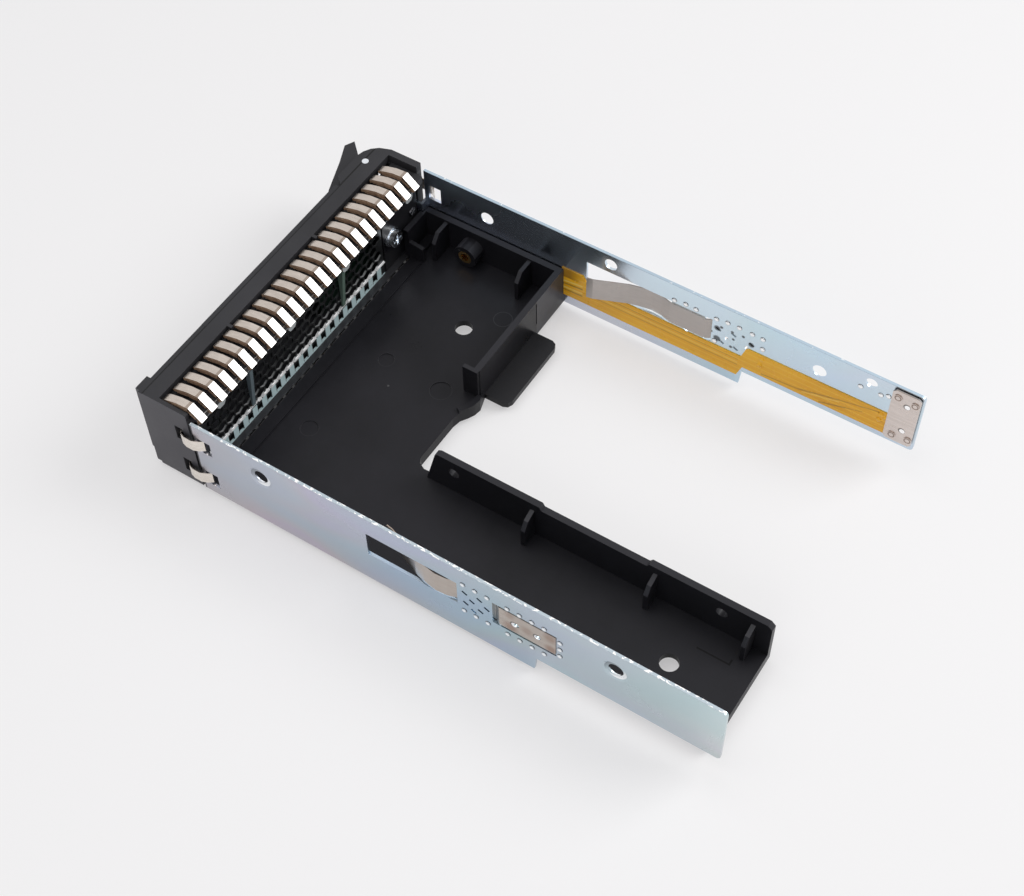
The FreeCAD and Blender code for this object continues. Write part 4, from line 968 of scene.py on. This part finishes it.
def softenedCopy(name, radius, segments, angle):
    work = mergedWork(name)
    if name == "drive_tray":
        levelMark(work)
    bmesh.ops.dissolve_limit(work, angle_limit=math.radians(shadingSetup["merged"]), verts=work.verts,
                             edges=work.edges)
    curved = curvedFaces(work)
    piece = addPiece(name + "_shell", work, nodeFinish[name], bodyOf(name))
    piece.data.set_sharp_from_angle(angle=math.radians(shadingSetup["sharp"]))
    piece.data.polygons.foreach_set("use_smooth", curved)
    bevel = piece.modifiers.new("edges", "BEVEL")
    bevel.width = radius * mm
    bevel.segments = segments
    bevel.limit_method = "ANGLE"
    bevel.angle_limit = math.radians(angle)
    bevel.use_clamp_overlap = True
    bevel.harden_normals = False
    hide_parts(name)


for name, values in softened.items():
    softenedCopy(name, *values)
print("edges softened")

# a smoothed copy of the button's coil takes the CAD node's place

coilSetup = {"node": "button_spring", "joint": "button_press", "stroke": 0.0012, "fixedEnd": -0.0701}


def addClosingCoil(name):
    work = mergedWork(name)
    for facet in work.faces:
        facet.smooth = True
    coil = addPiece(name + "_closing", work, nodeFinish[name], bodyOf(name))
    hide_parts(name)
    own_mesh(coil)


addClosingCoil(coilSetup["node"])

# beads pressed into the rails around the spring tails

beadSetup = {
    "along": [60.0, 63.4, 66.8, 72.4, 75.8, 79.2, 82.6],
    "levels": [9.6, 21.2],
    "rear": [(86.9, 12.6), (86.9, 15.6), (86.9, 18.6)],
    "radius": 0.80,
    "rise": 0.28,
    "segments": (14, 8),
    "face": 51.8,
    "innerFace": 51.0,
    "inner": [(58.9, 21.2), (62.3, 21.6), (65.4, 21.4), (71.5, 21.3), (74.8, 21.8), (78.2, 21.9),
              (82.0, 21.7), (85.1, 21.6), (85.4, 17.8), (58.8, 12.6), (62.2, 12.6), (65.4, 12.6),
              (71.6, 12.6), (113.0, 20.9), (118.6, 21.1), (120.6, 21.9)],
    "filmFace": 50.72,
    "film": [(85.7, 14.0), (85.3, 11.4), (119.8, 14.2), (119.6, 11.8), (121.4, 13.2)],
}


def addBeads(name, face, spots, finish):
    values = beadSetup
    around, up = values["segments"]
    work = bmesh.new()
    for along, level in spots:
        dome = bmesh.ops.create_uvsphere(work, u_segments=around, v_segments=up, radius=values["radius"] * mm)
        bmesh.ops.scale(work, vec=(values["rise"] / values["radius"], 1, 1), verts=dome["verts"])
        bmesh.ops.translate(work, vec=spot(face, along, level), verts=dome["verts"])
    for facet in work.faces:
        facet.smooth = True
    addPiece(name, work, finish, "caddy")


outerSpots = [(along, level) for along in beadSetup["along"] for level in beadSetup["levels"]]
outerSpots += beadSetup["rear"]
addBeads("beadsRight", beadSetup["face"], outerSpots, "bead")
addBeads("beadsLeft", -beadSetup["face"], outerSpots, "bead")
addBeads("beadsInside", -beadSetup["innerFace"], beadSetup["inner"], "bead")
addBeads("beadsFilm", -beadSetup["filmFace"], beadSetup["film"], "flex")
print("beads added")

# the folded fingers' under layer, seen as brown edges between their tops

foldSetup = {
    "side": 49.85, "pitch": 4.05, "wide": 2.2, "count": 24, "floor": 26.3, "slack": 0.03,
    # along, up at both ends, height
    "runs": [(-29.4, 1.62, -28.6, 1.98, 1.15), (-28.6, 1.88, -25.6, 2.68, 1.35),
             (-25.6, 2.66, -22.5, 2.76, 1.35), (-22.6, 2.62, -20.2, 0.92, 0.85)],
}


def addFolds(name):
    values = foldSetup
    work = bmesh.new()
    for index in range(values["count"]):
        middle = values["side"] - values["pitch"] * index - values["wide"] / 2
        for front, low, rear, high, height in values["runs"]:
            length = math.hypot(rear - front, high - low)
            bar = bmesh.ops.create_cube(work, size=1.0)
            extent = ((values["wide"] - values["slack"]) * mm, length * mm, height * mm)
            bmesh.ops.scale(work, vec=extent, verts=bar["verts"])
            tilt = Matrix.Rotation(math.atan2(high - low, rear - front), 3, "X")
            bmesh.ops.rotate(work, cent=(0, 0, 0), matrix=tilt, verts=bar["verts"])
            centre = spot(middle, (front + rear) / 2, values["floor"] + (low + high) / 2)
            bmesh.ops.translate(work, vec=centre, verts=bar["verts"])
    addPiece(name, work, "fold", "caddy")


addFolds("fingerFolds")
print("finger folds added")

# the second, black screw of the indicator housing

screwSetup = {
    "place": (-45.3, -21.6, 15.6), "radius": 1.45, "taper": 0.86, "rise": 0.55, "segments": 32,
    "rimTurn": 0.8, "rimRadius": 0.12, "cross": (0.26, 1.9, 0.10), "crossTurns": (38, 128), "crossLift": 0.2,
}


def screwHead():
    values = screwSetup
    across, along, level = values["place"]
    head = bmesh.new()
    bmesh.ops.create_cone(head, cap_ends=True, segments=values["segments"], radius1=values["radius"] * mm,
                          radius2=values["radius"] * values["taper"] * mm, depth=values["rise"] * mm,
                          matrix=Matrix.Rotation(math.radians(-90), 4, "X"))
    bmesh.ops.translate(head, vec=spot(across, along + values["rise"] / 2, level), verts=head.verts)
    rim = [edge for edge in head.edges if edge.calc_face_angle(0.0) > values["rimTurn"]]
    bmesh.ops.bevel(head, geom=rim, offset=values["rimRadius"] * mm, segments=2, profile=0.5, affect="EDGES",
                    material=-1)
    return head


# the cross recess is drawn as thin bright steel bars, painted glints in the recess
def screwCross():
    values = screwSetup
    across, along, level = values["place"]
    width, length, rise = values["cross"]
    centre = spot(across, along + values["rise"] + rise * values["crossLift"], level)
    cross = bmesh.new()
    for turn in values["crossTurns"]:
        bar = bmesh.ops.create_cube(cross, size=1.0)
        bmesh.ops.scale(cross, vec=(width * mm, rise * mm, length * mm), verts=bar["verts"])
        bmesh.ops.rotate(cross, cent=(0, 0, 0), matrix=Matrix.Rotation(math.radians(turn), 3, "Y"),
                         verts=bar["verts"])
        bmesh.ops.translate(cross, vec=centre, verts=bar["verts"])
    return cross


addPiece("smallScrewHead", screwHead(), "blackSteel", "caddy")
# painted glints: the cross recess in bright steel
addPiece("smallScrewCrossGlints", screwCross(), "steel", "caddy")
print("small screw added")
